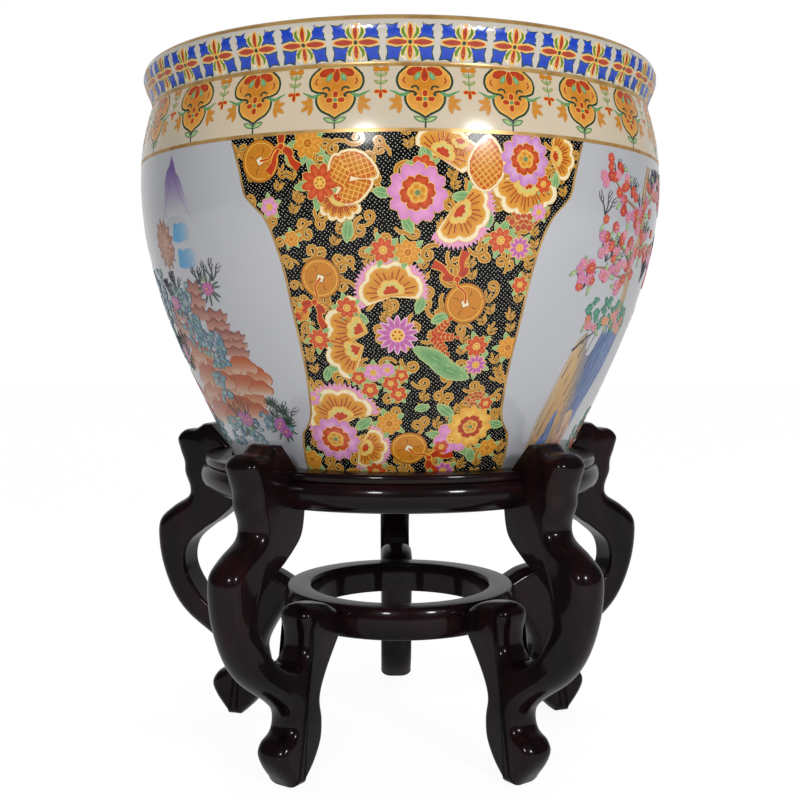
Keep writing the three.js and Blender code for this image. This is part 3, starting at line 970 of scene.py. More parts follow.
def dotted_black(name):
    """Black enamel sown with small pale dots, placed by the panel's own UV."""
    material, nodes, join, shader = new_material(name)
    place = add_node(nodes, "ShaderNodeUVMap", uv_map="UVMap")
    turn = (0, 0, math.radians(DOT_ROWS_TURN))
    aslant = add_node(nodes, "ShaderNodeMapping", vector_type="POINT", Rotation=turn)
    cells = add_node(nodes, "ShaderNodeTexVoronoi", voronoi_dimensions="2D")
    tune(cells, Scale=1 / DOT_PITCH, Randomness=DOT_DISORDER)
    radius = DOT_RADIUS / DOT_PITCH
    dot = add_node(nodes, "ShaderNodeMapRange", From_Min=1.07 * radius, From_Max=0.93 * radius)
    mix = add_node(nodes, "ShaderNodeMix", data_type="RGBA")
    tune(mix, A=linear(INK), B=linear(DOT_PALE))
    join(place, "UV", aslant, "Vector")
    join(aslant, "Vector", cells, "Vector")
    join(cells, "Distance", dot, "Value")
    join(dot, "Result", mix, "Factor")
    join(mix, "Result", shader, "Base Color")
    raise_by(nodes, join, shader, dot, "Result", 0.3, 0.0001)
    tune(shader, Roughness=0.24, Specular_IOR_Level=0.1, Coat_Weight=0.12, Coat_Roughness=0.08)
    return material


def enamel_material(name, roughness=0.24):
    """Glossy enamel whose colour is the mesh's own attribute, a little uneven as brushwork is."""
    material, nodes, join, shader = new_material(name)
    tint = add_node(nodes, "ShaderNodeAttribute", attribute_name="tint")
    brush = noise_on_piece(nodes, join, Scale=420.0, Detail=3.0)
    spread = add_node(nodes, "ShaderNodeMapRange", To_Min=0.82, To_Max=1.16)
    uneven = add_node(nodes, "ShaderNodeVectorMath", operation="SCALE")
    join(brush, "Fac", spread, "Value")
    join(tint, "Color", uneven, "Vector")
    join(spread, "Result", uneven, "Scale")
    join(uneven, "Vector", shader, "Base Color")
    tune(shader, Roughness=roughness, Specular_IOR_Level=0.35, Coat_Weight=0.35, Coat_Roughness=0.08)
    return material


PINK_FLOWER = (GOLD_LINE, (206, 130, 186), (226, 158, 200), SUN)
ROSE_FLOWER = (GOLD_LINE, (196, 122, 180), (226, 168, 206), SUN)
MAUVE_FLOWER = (SUN, (190, 124, 186), (216, 168, 208), VERMILION)
RED_FLOWER = (GOLD_LINE, VERMILION, (214, 96, 52), SUN)
RED_INNER = (SUN, (176, 58, 30), (212, 92, 44), AMBER)
AMBER_FLOWER = (SUN, AMBER, (226, 160, 62), AMBER)
STAR_FLOWER = (SUN, (214, 140, 190), (176, 84, 146), SUN)
ASTER_FLOWER = (BLUSH, (206, 134, 186), (184, 92, 154), SUN)
PANSY_OUTER = (SUN, (226, 158, 60), (240, 198, 96), RUST)
PANSY_INNER = (SUN, VERMILION, RUST, SUN)

BIG_FLOWERS = [  # theta, height up the side, radius, the colours of the outer and the inner flower
    (1.3, 206, 21, PINK_FLOWER, RED_INNER), (21.4, 229, 19, MAUVE_FLOWER, RED_INNER),
    (-19.5, 34, 19, ROSE_FLOWER, RED_INNER), (16.8, 44, 17, PANSY_OUTER, PANSY_INNER),
]
FANS = [  # theta, height, turn, reach, spread, lobes, fringed
    (8.6, 196, -128, 22, 190, 4, True), (5.6, 230, -30, 20, 200, 4, False), (-3.6, 142, 8, 21, 220, 4, True),
    (-9.6, 116, 68, 26, 120, 3, False), (-10.6, 104, 112, 25, 110, 3, False),
    (-17.0, 50, 20, 24, 200, 5, True), (22.0, 216, 176, 25, 170, 5, False),
    (-12.8, 205, 158, 17, 170, 7, False), (-12.0, 28, -112, 17, 180, 4, True),
    (27.4, 232, -80, 18, 150, 4, False), (9.0, 240, 170, 15, 160, 4, True),
]
LATTICES = [  # theta, height, turn, length, width
    (-5.6, 216, 62, 30, 22), (-6.6, 214, 118, 28, 19), (14.4, 243, 174, 36, 31), (-13.6, 231, 196, 24, 20),
]
COINS = [  # theta, height, turn, radius, the turn of the ribbon's tails
    (-28.2, 228.5, -62, 13.5, -112), (-17.5, 152, 160, 13.2, 0), (11.3, 135, 22, 13.5, 0),
    (0.6, 27, -118, 12.5, 0),
]
PAIRS = [  # theta, height, radius, petals, colours
    (-5.0, 170, 8.2, 8, RED_FLOWER), (-0.4, 168.5, 8.2, 8, AMBER_FLOWER), (17.3, 177, 8.4, 8, RED_FLOWER),
    (21.4, 172.5, 7.6, 10, STAR_FLOWER), (14.9, 105, 7.8, 8, RED_FLOWER), (15.4, 91.5, 7.4, 10, STAR_FLOWER),
    (-16.4, 213, 12.5, 9, RED_FLOWER), (-18.6, 238, 9.8, 8, AMBER_FLOWER), (-4.6, 47, 8.6, 8, AMBER_FLOWER),
    (-12.6, 132, 7.2, 7, RED_FLOWER), (-19.4, 110, 7.6, 9, RED_FLOWER), (22.5, 104, 8.0, 8, AMBER_FLOWER),
    (-26.6, 199, 6.4, 6, PINK_FLOWER), (2.2, 222, 8.0, 6, RED_FLOWER), (-7.9, 86, 6.6, 5, PINK_FLOWER),
    (-4.0, 78, 5.4, 5, RED_FLOWER), (-8.9, 73, 5.6, 5, RED_FLOWER), (-2.2, 70, 5.6, 5, RED_FLOWER),
    (-11.4, 82, 5.0, 5, RED_FLOWER), (-4.7, 88, 5.0, 5, PINK_FLOWER), (-1.5, 84, 4.6, 5, RED_FLOWER),
    (9.6, 28, 5.6, 6, RED_FLOWER), (19.8, 62, 5.2, 6, RED_FLOWER), (25.4, 214, 6.0, 6, RED_FLOWER),
    (-23.6, 66, 5.6, 6, PINK_FLOWER), (23.5, 26, 7.0, 6, AMBER_FLOWER), (24.8, 196, 5.6, 6, PINK_FLOWER),
    (-28.4, 16, 7.5, 6, AMBER_FLOWER), (-9.0, 8, 7.0, 8, RED_FLOWER), (11.0, 8, 7.5, 8, STAR_FLOWER),
    (12.4, 35, 13.5, 6, PINK_FLOWER), (-22.4, 128, 5.4, 6, AMBER_FLOWER), (22.6, 148, 5.8, 6, RED_FLOWER),
    (-22.6, 178, 5.0, 6, AMBER_FLOWER),
]
LEAVES = [  # theta, height, turn, length, width
    (1.0, 104, -118, 33, 15), (4.6, 93, -112, 31, 15), (-1.4, 192, -150, 13, 8), (7.6, 204, -92, 14, 9),
    (-3.4, 205, 78, 12, 8), (-11.2, 190, 172, 15, 9), (10.8, 214, -160, 12, 8), (11.8, 52, 52, 15, 9),
    (12.2, 34, 112, 13, 8), (-13.4, 42, -52, 14, 9), (-24.6, 48, 44, 12, 8), (20.4, 236, -60, 13, 8),
    (9.6, 222, 40, 12, 8), (3.4, 225, 20, 12, 9), (-21.2, 223, 30, 12, 7), (18.6, 190, 150, 12, 8),
    (14.9, 196, 172, 12, 8), (4.6, 122, -64, 12, 8), (-8.4, 122, 60, 12, 8), (1.6, 128, -18, 12, 8),
    (17.8, 26, -160, 12, 8), (22.0, 46, -100, 12, 8), (-14.2, 220, 20, 11, 7), (22.9, 219, -122, 10, 7),
    (-18.0, 90, 160, 11, 7), (-15.4, 92, 120, 10, 7), (28.2, 222, 178, 11, 7), (5.4, 60, 100, 10, 7),
]


SCROLL_ROWS = 14.5  # millimetres up the side from one row of scrolls to the next
SCROLL_PITCH = 17
SCROLL_MARGIN = 6.5  # from the panel's edge to the first scroll of a row
SCROLL_STAGGER = 3.4
SCROLL_ARMS = (1, 0, 1, 2)  # the extra arms of the kinds of scroll; the kinds after them are sprigs


def in_panel(theta, v):
    """The place itself or, where it lies outside the front panel, the nearest one on the panel's edge."""
    v = min(max(v, 1.5), RESERVE_TOP)
    half = panel_half(v) - 0.25
    return min(max(theta, FRONT - half), FRONT + half), v


def covered(theta, v, spare):
    """Whether the middle of a coin or a flower is over a place."""
    radius = at_length(v)[0]
    middles = [flower[:3] for flower in BIG_FLOWERS + PAIRS] + [(t, h, r) for t, h, _, r, _ in COINS]
    return any(math.hypot(math.radians(theta - FRONT - t) * radius, v - h) < r - spare for t, h, r in middles)


def draw_scrolls(ground):
    """Gold scrolls and sprigs in rows over the whole panel, each a little turned and moved from its place."""
    chance = random.Random(11)
    v = 6.0
    while v < RESERVE_TOP - 3:
        radius = at_length(v)[0]
        half = math.radians(panel_half(v)) * radius - SCROLL_MARGIN
        count = round(2 * half / SCROLL_PITCH)
        for k in range(count + 1):
            x = -half + 2 * half * k / count + chance.uniform(-1.6, 1.6) * (0 < k < count)
            moved = chance.uniform(-1.8, 1.8) + (SCROLL_STAGGER if k % 2 else -SCROLL_STAGGER)
            theta = FRONT + math.degrees(x / radius)
            kind, turn, size = chance.randrange(6), chance.uniform(0, 360), chance.uniform(0.88, 1.08)
            height = min(max(v + moved, 7), RESERVE_TOP - 6)
            if covered(theta, height, 3.5):
                continue
            if kind < len(SCROLL_ARMS):
                curl(ground, (theta, height, turn, size * (0.8 if k in (0, count) else 1)), SCROLL_ARMS[kind])
            else:
                sprig(ground, (theta, height - 6, turn % 70 - 35, 1.0), 4)
        v += SCROLL_ROWS


def draw_flowers(flowers):
    for theta, v, turn, length, width in LEAVES:
        leaf(flowers, (FRONT + theta, v, turn, 1), length, width, 5)
    for theta, v, turn, reach, spread, lobes, fringed in FANS:
        fan_flower(flowers, (FRONT + theta, v, turn, 1), reach, spread, lobes, 6, PINK if fringed else None)
    for theta, v, turn, length, width in LATTICES:
        lattice_leaf(flowers, (FRONT + theta, v, turn, 1), length, width, 11)
    for theta, v, turn, radius, hang in COINS:
        coin(flowers, (FRONT + theta, v, turn, 1), radius, 9, hang)
    for theta, v, radius, petals, colours in PAIRS:
        blossom(flowers, (FRONT + theta, v, 7 * petals, 1), radius, petals, colours, 12, sepals=5, point=0.3)
    for theta, v, radius, outer, inner in BIG_FLOWERS:
        peony(flowers, (FRONT + theta, v, 12, 1), radius, outer, inner, 16)
    blossom(flowers, (FRONT - 2.4, 113, 0, 1), 13.5, 14, ASTER_FLOWER, 17, point=0.7, heart=0.34)
    for turn in (-40, -92, -140):
        feather(flowers, (FRONT + 5.2, 112, turn, 1.35), 5, 8)
    berries(flowers, (FRONT + 21.6, 197, 4, 1), 4, 5)
    berries(flowers, (FRONT + 17.2, 70, 0, 0.7), 4, 5)


# ---------------------------------------------------------------- the bands under the rim

BANDS = [  # name, finish, from and to (millimetres up the side), height of the coat, steps
    ("cream_band", "cream", 246.4, 287.4, 0.06, 24),
    ("gold_line_1", "gold", 244.0, 246.4, 0.16, 4),
    ("gold_line_2", "gold", 287.3, 290.3, 0.16, 4),
    ("rim_cream", "rim", 290.8, 318.5, 0.05, 16),
    ("gold_lip", "gold", 317, 330, 0.14, 14),
]
TILE_COUNT = 36
TILE_HEIGHT = 302.4
LAPPET_COUNT = 22
LAPPET_FIRST = 3.0  # degrees
LAPPET_TOP = 287.6


def draw_rim_tile(tile):
    """Four cobalt corners round a red flower with four pointed petals."""
    spot = (0, TILE_HEIGHT, 0, 1)
    corner = [
        (4.4, 3.0), (8.6, 4.0), (14.4, 2.8), (13.7, 6.2), (14.9, 10.4), (11.2, 9.8), (8.0, 11.0), (7.3, 7.4),
    ]
    sprout = [(1.4, 1.8), (3.9, 3.0), (5.6, 5.6), (5.4, 8.0), (3.6, 9.6), (4.0, 8.0), (3.6, 6.2), (2.6, 4.2)]
    for side in (1, -1):
        for rise in (1, -1):
            block = [(x * side, y * rise) for x, y in corner][:: side * rise]
            curve = [(x * side, y * rise) for x, y in sprout][:: side * rise]
            tile.edged(spot, block, 0, PINE, COBALT, BRIGHT_COBALT, width=0.75)
            tile.pad(spot, grown(curve, 0.8), 2, CREAM)
            tile.edged(spot, curve, 3, SUN, SPROUT, BRIGHT_SPROUT, width=0.35)
    for turn, length, width in ((0, 10.2, 3.4), (180, 10.0, 3.4), (90, 13.4, 4.4), (-90, 13.4, 4.4)):
        shape = set_petal(length, width, turn, start=0.8, point=0.75, count=16)
        tile.edged(spot, shape, 5, SUN, RUST, VERMILION, width=0.8)
    tile.edged(spot, circle(1.4, 10), 7, SUN, PINE, width=0.8)


def draw_lappet(lappet):
    """A hanging medallion with its leaves, and the sprig between it and the next."""
    top = (0, LAPPET_TOP, 0, 1)
    half = [
        (0, -33.5), (3.4, -31.2), (8.0, -28.8), (10.8, -24.8), (11.2, -20.8), (9.0, -17.8), (10.8, -16.4),
        (14.8, -14.8), (16.4, -10.4), (15.2, -5.8), (11.4, -2.0), (9.4, -0.2),
    ]
    rounded = smooth_run(half, 2)
    outline = rounded + [(-x, y) for x, y in reversed(rounded[1:])]
    coats = ((1.7, PINE, None), (0.2, SUN, None), (-0.4, AMBER, LAPPET_EDGE))
    for level, (margin, colour, edge) in enumerate(coats):
        lappet.pad(top, grown(outline, margin), level, colour, edge, heart=(0, -14))
    for side in (-1, 1):
        big = set_petal(11, 6.6, side * -112, side * 1.2, -1.6, point=0.2)
        lappet.edged(top, big, 3, SUN, VERMILION, RUST, width=0.3)
        drop = set_petal(6.4, 4.0, side * -152, side * 3.0, -4.4, point=0.5)
        lappet.edged(top, drop, 6, AMBER, MINT, LEAF)
        hook = [(side * 8.6, -15.2), (side * 6.6, -14.0), (side * 4.4, -14.8), (side * 4.2, -16.6)]
        lappet.stroke(top, smooth_run(hook, 3), 1.3, 3, PINE)
        dash = [(side * 12.4, -8.0), (side * 13.6, -10.2), (side * 12.2, -12.2)]
        lappet.stroke(top, dash, 0.9, 3, RUST)
        swirl = [(side * 10.2, -17.6), (side * 7.4, -17.8), (side * 5.6, -19.2), (side * 6.8, -20.4)]
        lappet.stroke(top, smooth_run(swirl, 3), 1.5, 3, PINE)
        stem = [(9.4, -18.4, 2.4), (14.4, -20.0, 2.2), (18.6, -18.2, 1.4), (21.8, -16.6, 0.5)]
        lappet.stroke(top, smooth_run([(side * x, y, w) for x, y, w in stem], 4), 0, 0, LEAF)
        for turn, length in ((30, 5.6), (76, 7.2), (124, 8.2), (168, 7.4)):
            shape = set_petal(length, 3.4, -side * turn, side * 15.0, -24.6, point=0.85)
            lappet.edged(top, shape, 0, OLD_GOLD, AMBER, (204, 148, 72), width=0.3)
    lappet.edged(top, set_petal(10.0, 5.4, 180, 0, -1.2, point=0.2), 7, SUN, RUST, VERMILION, width=0.3)
    for turn in range(0, 360, 90):
        lappet.edged(top, set_petal(5.4, 3.9, turn, 0, -22.6, start=0.7), 3, SUN, RUST, VERMILION)
    lappet.edged(top, circle(1.4, 9, 0, -22.6), 5, SUN, LEAF)
    for side in (-1, 1):
        foot_leaf = set_petal(7.4, 3.4, -side * 66, 0, -37.2, point=0.8)
        lappet.edged(top, foot_leaf, 0, PINE, PALE_LEAF, LEAF, width=0.35)
    lappet.stroke(top, [(0, -34.6), (0, -37.6), (0, -41.4)], 1.1, 0, PINE)
    between = math.pi * at_length(LAPPET_TOP - 10)[0] / LAPPET_COUNT
    for side in (-1, 1):
        bud = set_petal(5.4, 3.4, -side * 84, between - 0.2 * side, -2.6, notch=0.2)
        lappet.edged(top, bud, 0, OLD_GOLD, AMBER)
        for drop_y in (-7.4, -12.6):
            shape = set_petal(4.6, 2.2, -side * 58, between, drop_y, point=0.7)
            lappet.edged(top, shape, 0, OLD_GOLD, PALE_LEAF, LEAF, width=0.3)
        low = set_petal(4.2, 2.8, -side * 104, between, -17.0, point=0.3)
        lappet.edged(top, low, 0, SUN, VERMILION, width=0.35)
    lappet.stroke(top, [(between, -3), (between, -10), (between, -17)], 0.7, 0, LEAF)
    tip = set_petal(5.4, 2.8, 180, between, -17.0, point=0.5)
    lappet.edged(top, tip, 1, SUN, RUST, VERMILION, width=0.35)


def ring_tree():
    """Geometry Nodes that repeat one motif round the bowl's axis."""
    tree = bpy.data.node_groups.new("round_the_bowl", "GeometryNodeTree")
    sockets = {}
    add_socket = tree.interface.new_socket
    inputs = (("Motif", "Geometry"), ("Count", "Int"), ("First Turn", "Float"), ("Finish", "Material"))
    for label, kind in inputs:
        sockets[label] = add_socket(label, in_out="INPUT", socket_type=f"NodeSocket{kind}").identifier
    add_socket("Ring", in_out="OUTPUT", socket_type="NodeSocketGeometry")
    nodes, join = tree.nodes, joiner(tree)
    given = nodes.new("NodeGroupInput")
    places = add_node(nodes, "GeometryNodeMeshLine", Offset=(0, 0, 0))
    pitch = add_node(nodes, "ShaderNodeMath", operation="DIVIDE")
    pitch.inputs[0].default_value = math.tau
    turn = add_node(nodes, "ShaderNodeMath", operation="MULTIPLY_ADD")
    about_axis = nodes.new("ShaderNodeCombineXYZ")
    rotation = nodes.new("FunctionNodeEulerToRotation")
    copies = nodes.new("GeometryNodeInstanceOnPoints")
    real = nodes.new("GeometryNodeRealizeInstances")
    finish = nodes.new("GeometryNodeSetMaterial")
    join(given, "Count", places, "Count")
    join(given, "Count", pitch, 1)
    join(nodes.new("GeometryNodeInputIndex"), "Index", turn, 0)
    join(pitch, "Value", turn, 1)
    join(given, "First Turn", turn, 2)
    join(turn, "Value", about_axis, "Z")
    join(about_axis, "Vector", rotation, "Euler")
    join(places, "Mesh", copies, "Points")
    join(given, "Motif", copies, "Instance")
    join(rotation, "Rotation", copies, "Rotation")
    join(copies, "Instances", real, "Geometry")
    join(real, "Geometry", finish, "Geometry")
    join(given, "Finish", finish, "Material")
    join(finish, "Geometry", nodes.new("NodeGroupOutput"), "Ring")
    return tree, sockets


def repeated(motif, count, first, material, tree, sockets):
    """The motif's object, with its mesh repeated round the bowl."""
    ring = motif.modifiers.new("ring", "NODES")
    ring.node_group = tree
    ring[sockets["Count"]] = count
    ring[sockets["First Turn"]] = math.radians(first)
    ring[sockets["Finish"]] = material
    return settled(motif)


def band(name, low, high, lift, steps):
    """A coat of glaze or gold all round the bowl, between two heights up its side."""
    rows = [(low + (high - low) * k / steps, lift) for k in range(steps + 1)]
    profile = []
    for v, rise in [(low, SKIRT)] + rows + [(high, SKIRT)]:
        radius, height, (out, up) = at_length(v)
        profile.append((radius + out * rise, height + up * rise))
    return turned(name, profile, segments=360, closed=False)


# ---------------------------------------------------------------- the painted reserves

PAPER = (184, 185, 190)
PAINT_LINE = (58, 60, 70)
PAINT_TOP = RESERVE_TOP - 8
GIRTH = 200  # radius of the bowl, near enough, where the trees are painted


def fading(colour, strong, faint, other=PAPER, sideways=False):
    """A wash's colour at a place: full where the brush was charged, and gone where it ran dry."""

    def tint(x, y):
        share = ((x if sideways else y) - strong) / (faint - strong)
        return mixed(colour, other, min(max(share, 0), 1))

    return tint


def twig(paint, spot, stations, width, level, colour):
    """A brushed line that thins to a quarter of its width at its end."""
    last = len(stations) - 1
    path = smooth_run([(x, y, width * (1 - 0.75 * i / last)) for i, (x, y) in enumerate(stations)], 4)
    paint.stroke(spot, path, 0, level, colour, ridge=0.02)


def painted_flower(paint, spot, radius, edge, root, level, petals=5):
    for i in range(petals):
        shape = spin(petal(radius, radius * 0.88, notch=0.14), 360 * i / petals)
        paint.pad(spot, shape, level, root, edge, swell=0.9)
    paint.pad(spot, circle(radius * 0.16, 6), level + 1, SUN)
    for i in range(petals):
        stamen = spin([(0, radius * 0.18), (0, radius * 0.4)], 360 * (i + 0.5) / petals)
        paint.stroke(spot, stamen, 0.35, level + 1, RUST, ridge=0)


def ragged(chance, outline, rough):
    """An outline through stations, roughened as a brush leaves it."""
    rounded = smooth_run(outline + outline[:1], 2)[:-1]
    return [(x + chance.uniform(-rough, rough), y + chance.uniform(-rough, rough)) for x, y in rounded]


def crag(paint, chance, spot, left, right, tint, level, veins=7, line=PAINT_LINE):
    """A tall rock between its two sides, given as places from its foot up, with veins that run with them."""
    outline = ragged(chance, right + left[::-1], 0.7)
    middle = (sum(x for x, _ in outline) / len(outline), sum(y for _, y in outline) / len(outline))
    paint.pad(spot, outline, level, tint, heart=middle)
    for i in range(veins):
        share = (i + 0.6) / (veins + 0.4)
        flow = [mixed(left_place, right_place, share) for left_place, right_place in zip(left, right)]
        path = smooth_run([(x + chance.uniform(-1.4, 1.4), y) for x, y in flow], 5)
        start = chance.randrange(0, 3)
        while start < len(path) - 3:
            stop = min(len(path), start + chance.randrange(4, 9))
            run = path[start:stop]
            if len(run) > 2:
                twig(paint, spot, run[::2], chance.uniform(0.5, 0.95), level + 2, line)
            start = stop + chance.randrange(0, 3)


def tuft(paint, chance, theta, v, wide, tall, count, shades, level, size=3.6):
    """A mass of small lobed leaves, each in one of the shades, a light and a dark."""
    for _ in range(count):
        t = theta + math.degrees(chance.uniform(-0.5, 0.5) * wide / at_length(v)[0])
        h = min(v + chance.uniform(-0.5, 0.5) * tall, PAINT_TOP)
        light, dark = chance.choice(shades)
        spot = (t, h, chance.uniform(0, 360), 1)
        shape = lobed(size * chance.uniform(0.8, 1.2), 230, 3, 0.3)
        paint.pad(spot, shape, level + chance.randrange(3), light, dark, swell=1.1)


def blossoms(paint, chance, theta, v, wide, tall, count, edges, level, radius):
    """Flowers strewn over an oval, some with a leaf."""
    for _ in range(count):
        a, r = chance.uniform(0, math.tau), math.sqrt(chance.random())
        t = theta + math.degrees(0.5 * wide * r * math.cos(a) / at_length(v)[0])
        h = min(v + 0.5 * tall * r * math.sin(a), PAINT_TOP)
        edge = chance.choice(edges)
        spot = (t, h, chance.uniform(0, 72), 1)
        if chance.random() < 0.4:
            shape = petal(9, 3.4, start=2, point=0.7)
            paint.pad((t, h, chance.uniform(0, 360), 1), shape, level - 2, PALE_LEAF, DULL_LEAF)
        reach = radius * chance.uniform(0.85, 1.15)
        root = mixed(edge, (244, 206, 196), 0.28)
        painted_flower(paint, spot, reach, edge, root, level + chance.randrange(2) * 2)


def bare_twigs(paint, chance, theta, v, reach, level):
    for turn in (-38, -6, 30):
        spot = (theta, v, turn + chance.uniform(-8, 8), 1)
        stem = [(0, 0), (1.2, reach * 0.4), (-0.6, reach * 0.75), (0.8, reach)]
        twig(paint, spot, stem, 0.8, level, PAINT_LINE)
        for k in (0.45, 0.7):
            fork = [(0.4, reach * k), (2.2, reach * (k + 0.12)), (3.2, reach * (k + 0.3))]
            twig(paint, spot, fork, 0.55, level, PAINT_LINE)


REDS = [(192, 50, 34), (200, 66, 44), (184, 48, 36), (208, 124, 158), (198, 112, 158), (216, 140, 166)]
PEACHES = [(206, 110, 84), (204, 124, 140), (214, 140, 96)]
MAUVES = [(176, 88, 148), (158, 84, 160), (194, 116, 160)]
BUSH_GREENS = [((104, 166, 136), (54, 124, 98)), ((84, 150, 120), (48, 112, 92))]
TEALS = [
    ((138, 172, 178), (62, 108, 122)), ((110, 148, 166), (54, 88, 112)), ((168, 190, 184), (84, 124, 124)),
    ((186, 196, 200), (96, 120, 136)),
]
FAR_BROWNS = [((206, 176, 160), (160, 110, 92))]
BROWN_SLABS = [((184, 104, 78), (138, 70, 58)), ((196, 122, 92), (148, 76, 58))]
BARK, DARK_BARK = (198, 172, 132), (150, 116, 78)
PALE_OCHRE, DEEP_OCHRE, CLAY = (206, 172, 124), (178, 134, 82), (206, 148, 120)
ROCK_BLUE, DEEP_BLUE = (98, 124, 172), (64, 92, 146)
CLOUD_ORANGE, CLOUD_PALE = (174, 82, 34), (208, 180, 160)

TREE_ROCKS = [(49.5, 1.05), (90, 1.2), (124, 1.0)]  # degrees round from the panel's middle, and size
BUSHES = [  # degrees round, and height up the side
    (46.5, 128), (53, 130), (60, 126), (72, 40), (68, 28), (78, 26), (84, 132), (94, 134), (102, 120),
    (108, 34), (104, 24), (120, 124), (130, 116), (136, 36),
]
TREES = (58, 100)  # degrees round
TREE_MIDDLE = 168  # height up the side
TRUNK = [(-8, -50), (-5, -36), (-2, -22), (-8, 0), (2, 22), (-2, 46), (6, 68)]
BRANCHES = [
    [(-2, -8), (-22, -12), (-46, -6), (-72, -10)], [(0, 24), (-14, 36), (-34, 44), (-52, 60)],
    [(2, 10), (24, 12), (52, 2), (80, 8)], [(2, 40), (22, 50), (50, 52), (74, 46)],
    [(-4, 0), (-26, 8), (-50, 16)],
]


def weathered(x, y):
    """The colour of the tree's rock: ochre on its left, blue on its right, and pale along its left edge."""
    blueness = min(max((x + 7 + 0.2 * y) / 17, 0), 1)
    ochre = mixed(DEEP_OCHRE, PALE_OCHRE, (y + 50) / 100)
    blue = mixed(DEEP_BLUE, ROCK_BLUE, min((x + 6) / 30, 1))
    return mixed(PAPER, mixed(ochre, blue, blueness), min(max((x + 33 - 0.14 * y) / 13, 0.3), 1))


def draw_tree_rock(paint, chance, spot):
    left = [(-27, -50), (-31, -30), (-29, -8), (-24, 14), (-20, 32), (-12, 47)]
    right = [(8, -50), (16, -34), (20, -12), (28, 10), (33, 32), (32, 53)]
    crag(paint, chance, spot, left, right, weathered, 1, 8)
    crag(paint, chance, spot, [(x + 26, y) for x, y in left], right, weathered, 3, 9, DEEP_BLUE)
    left = [(-24, -50), (-22, -40), (-17, -28), (-14, -14)]
    right = [(-14, -50), (-10, -40), (-9, -30), (-10, -12)]
    crag(paint, chance, spot, left, right, fading(DEEP_BLUE, -50, -12, ROCK_BLUE), 4, 4)
    left = [(2, -40), (4, -28), (2, -16)]
    right = [(14, -40), (17, -26), (12, -12)]
    crag(paint, chance, spot, left, right, fading(PALE_OCHRE, -12, -40, CLAY), 5, 4)
    twig(paint, spot, [(-20, 34), (-15, 39), (-9, 44), (-3, 47)], 1.8, 6, PAINT_LINE)


def draw_blossom_tree(paint):
    """The right-hand reserve: a rock of ochre and blue, with a flowering tree over it."""
    chance = random.Random(23)
    for theta, size in TREE_ROCKS:
        draw_tree_rock(paint, chance, (FRONT + theta, 65, 0, size))
    for theta, v in BUSHES:
        tuft(paint, chance, FRONT + theta, v, 26, 20, 16, BUSH_GREENS, 7)
        blossoms(paint, chance, FRONT + theta + 1, v - 6, 26, 12, 5, PEACHES, 11, 3.5)
    for theta in TREES:
        spot = (FRONT + theta, TREE_MIDDLE, 0, 1)
        twig(paint, spot, TRUNK, 11, 7, BARK)
        for offset in (-2.6, 0.4, 3.0):
            twig(paint, spot, [(x + offset, y) for x, y in TRUNK], 1.1, 9, DARK_BARK)
        for stations in BRANCHES:
            twig(paint, spot, stations, 2.6, 8, DARK_BARK)
            for x, y in smooth_run(stations, 2)[1:]:
                t, v = FRONT + theta + math.degrees(x / GIRTH), TREE_MIDDLE + y
                blossoms(paint, chance, t, v, 27, 25, 5, REDS, 12, 4.1)
                if chance.random() < 0.45:
                    bare_twigs(paint, chance, t, min(v + 4, 222), 15, 10)
    for x, y in ((-66, -22), (-40, 2), (-56, 30), (30, -14)):
        bare_twigs(paint, chance, FRONT + TREES[0] + math.degrees(x / GIRTH), TREE_MIDDLE + y, 17, 10)


def scalloped_rock(paint, spot, wide, tall, level):
    """A rock like heaped clouds: dark along its lobed crest and fading below."""
    heaps = ((-0.3, 0.1, 0.7), (0.28, 0.0, 0.8), (0, 0.34, 0.75), (-0.1, -0.3, 0.8), (0.34, -0.34, 0.6))
    crest = lobed(1, 210, 4, 0.12, base=0.34)
    for x, y, size in heaps:
        shape = [(px * wide * size * 0.62, py * tall * size * 0.62) for px, py in crest]
        shape = shifted(shape, x * wide, y * tall)
        top, foot = max(py for _, py in shape), min(py for _, py in shape)
        paint.pad(spot, shape, level, fading(CLOUD_ORANGE, top - 0.2 * (top - foot), foot, CLOUD_PALE))
        paint.stroke(spot, shape[1:], 0.55, level + 1, mixed(CLOUD_ORANGE, RUST, 0.7), ridge=0.02)
        level += 2


PEAK = [  # a share of the width and of the height
    (-0.5, 0), (0.5, 0), (0.4, 0.14), (0.31, 0.3), (0.25, 0.42), (0.21, 0.55), (0.16, 0.68), (0.09, 0.76),
    (0.05, 0.88), (0, 1), (-0.05, 0.88), (-0.13, 0.8), (-0.18, 0.66), (-0.21, 0.5), (-0.27, 0.3),
    (-0.37, 0.14),
]
BANK = [
    (-1, -0.3), (-0.4, -0.42), (0.4, -0.36), (1, -0.1), (0.7, 0.16), (0.3, 0.4), (-0.3, 0.3), (-0.8, 0.36),
]
SLAB = [
    (-0.5, -0.2), (0.4, -0.24), (0.5, 0.06), (0.34, 0.0), (0.3, 0.24), (0.1, 0.12), (-0.12, 0.3),
    (-0.3, 0.12), (-0.44, 0.2),
]
PEAKS = [(-53, 190, 60, 50), (-86, 178, 60, 62), (-114, 184, 48, 54)]  # degrees round, foot, width, height
MISTS = [(-52, 187, 19), (-51.5, 169, 21), (-84, 164, 30), (-112, 168, 26)]  # degrees round, height, width
THICKETS = [  # degrees round, middle, width, height
    (-60, 180, 32, 38), (-93, 140, 34, 40), (-124, 150, 30, 40),
]
TERRACES = [  # the same
    (-52, 138, 24, 30), (-46.5, 120, 28, 24), (-42.5, 106, 26, 20), (-64, 116, 40, 36), (-94, 96, 60, 50),
    (-122, 88, 50, 44),
]
CLOUD_ROCKS = [
    (-42.6, 78, 32, 24), (-46.5, 60, 30, 28), (-58, 84, 44, 30), (-60, 54, 50, 30), (-88, 56, 60, 36),
    (-112, 54, 60, 36), (-132, 60, 40, 34),
]
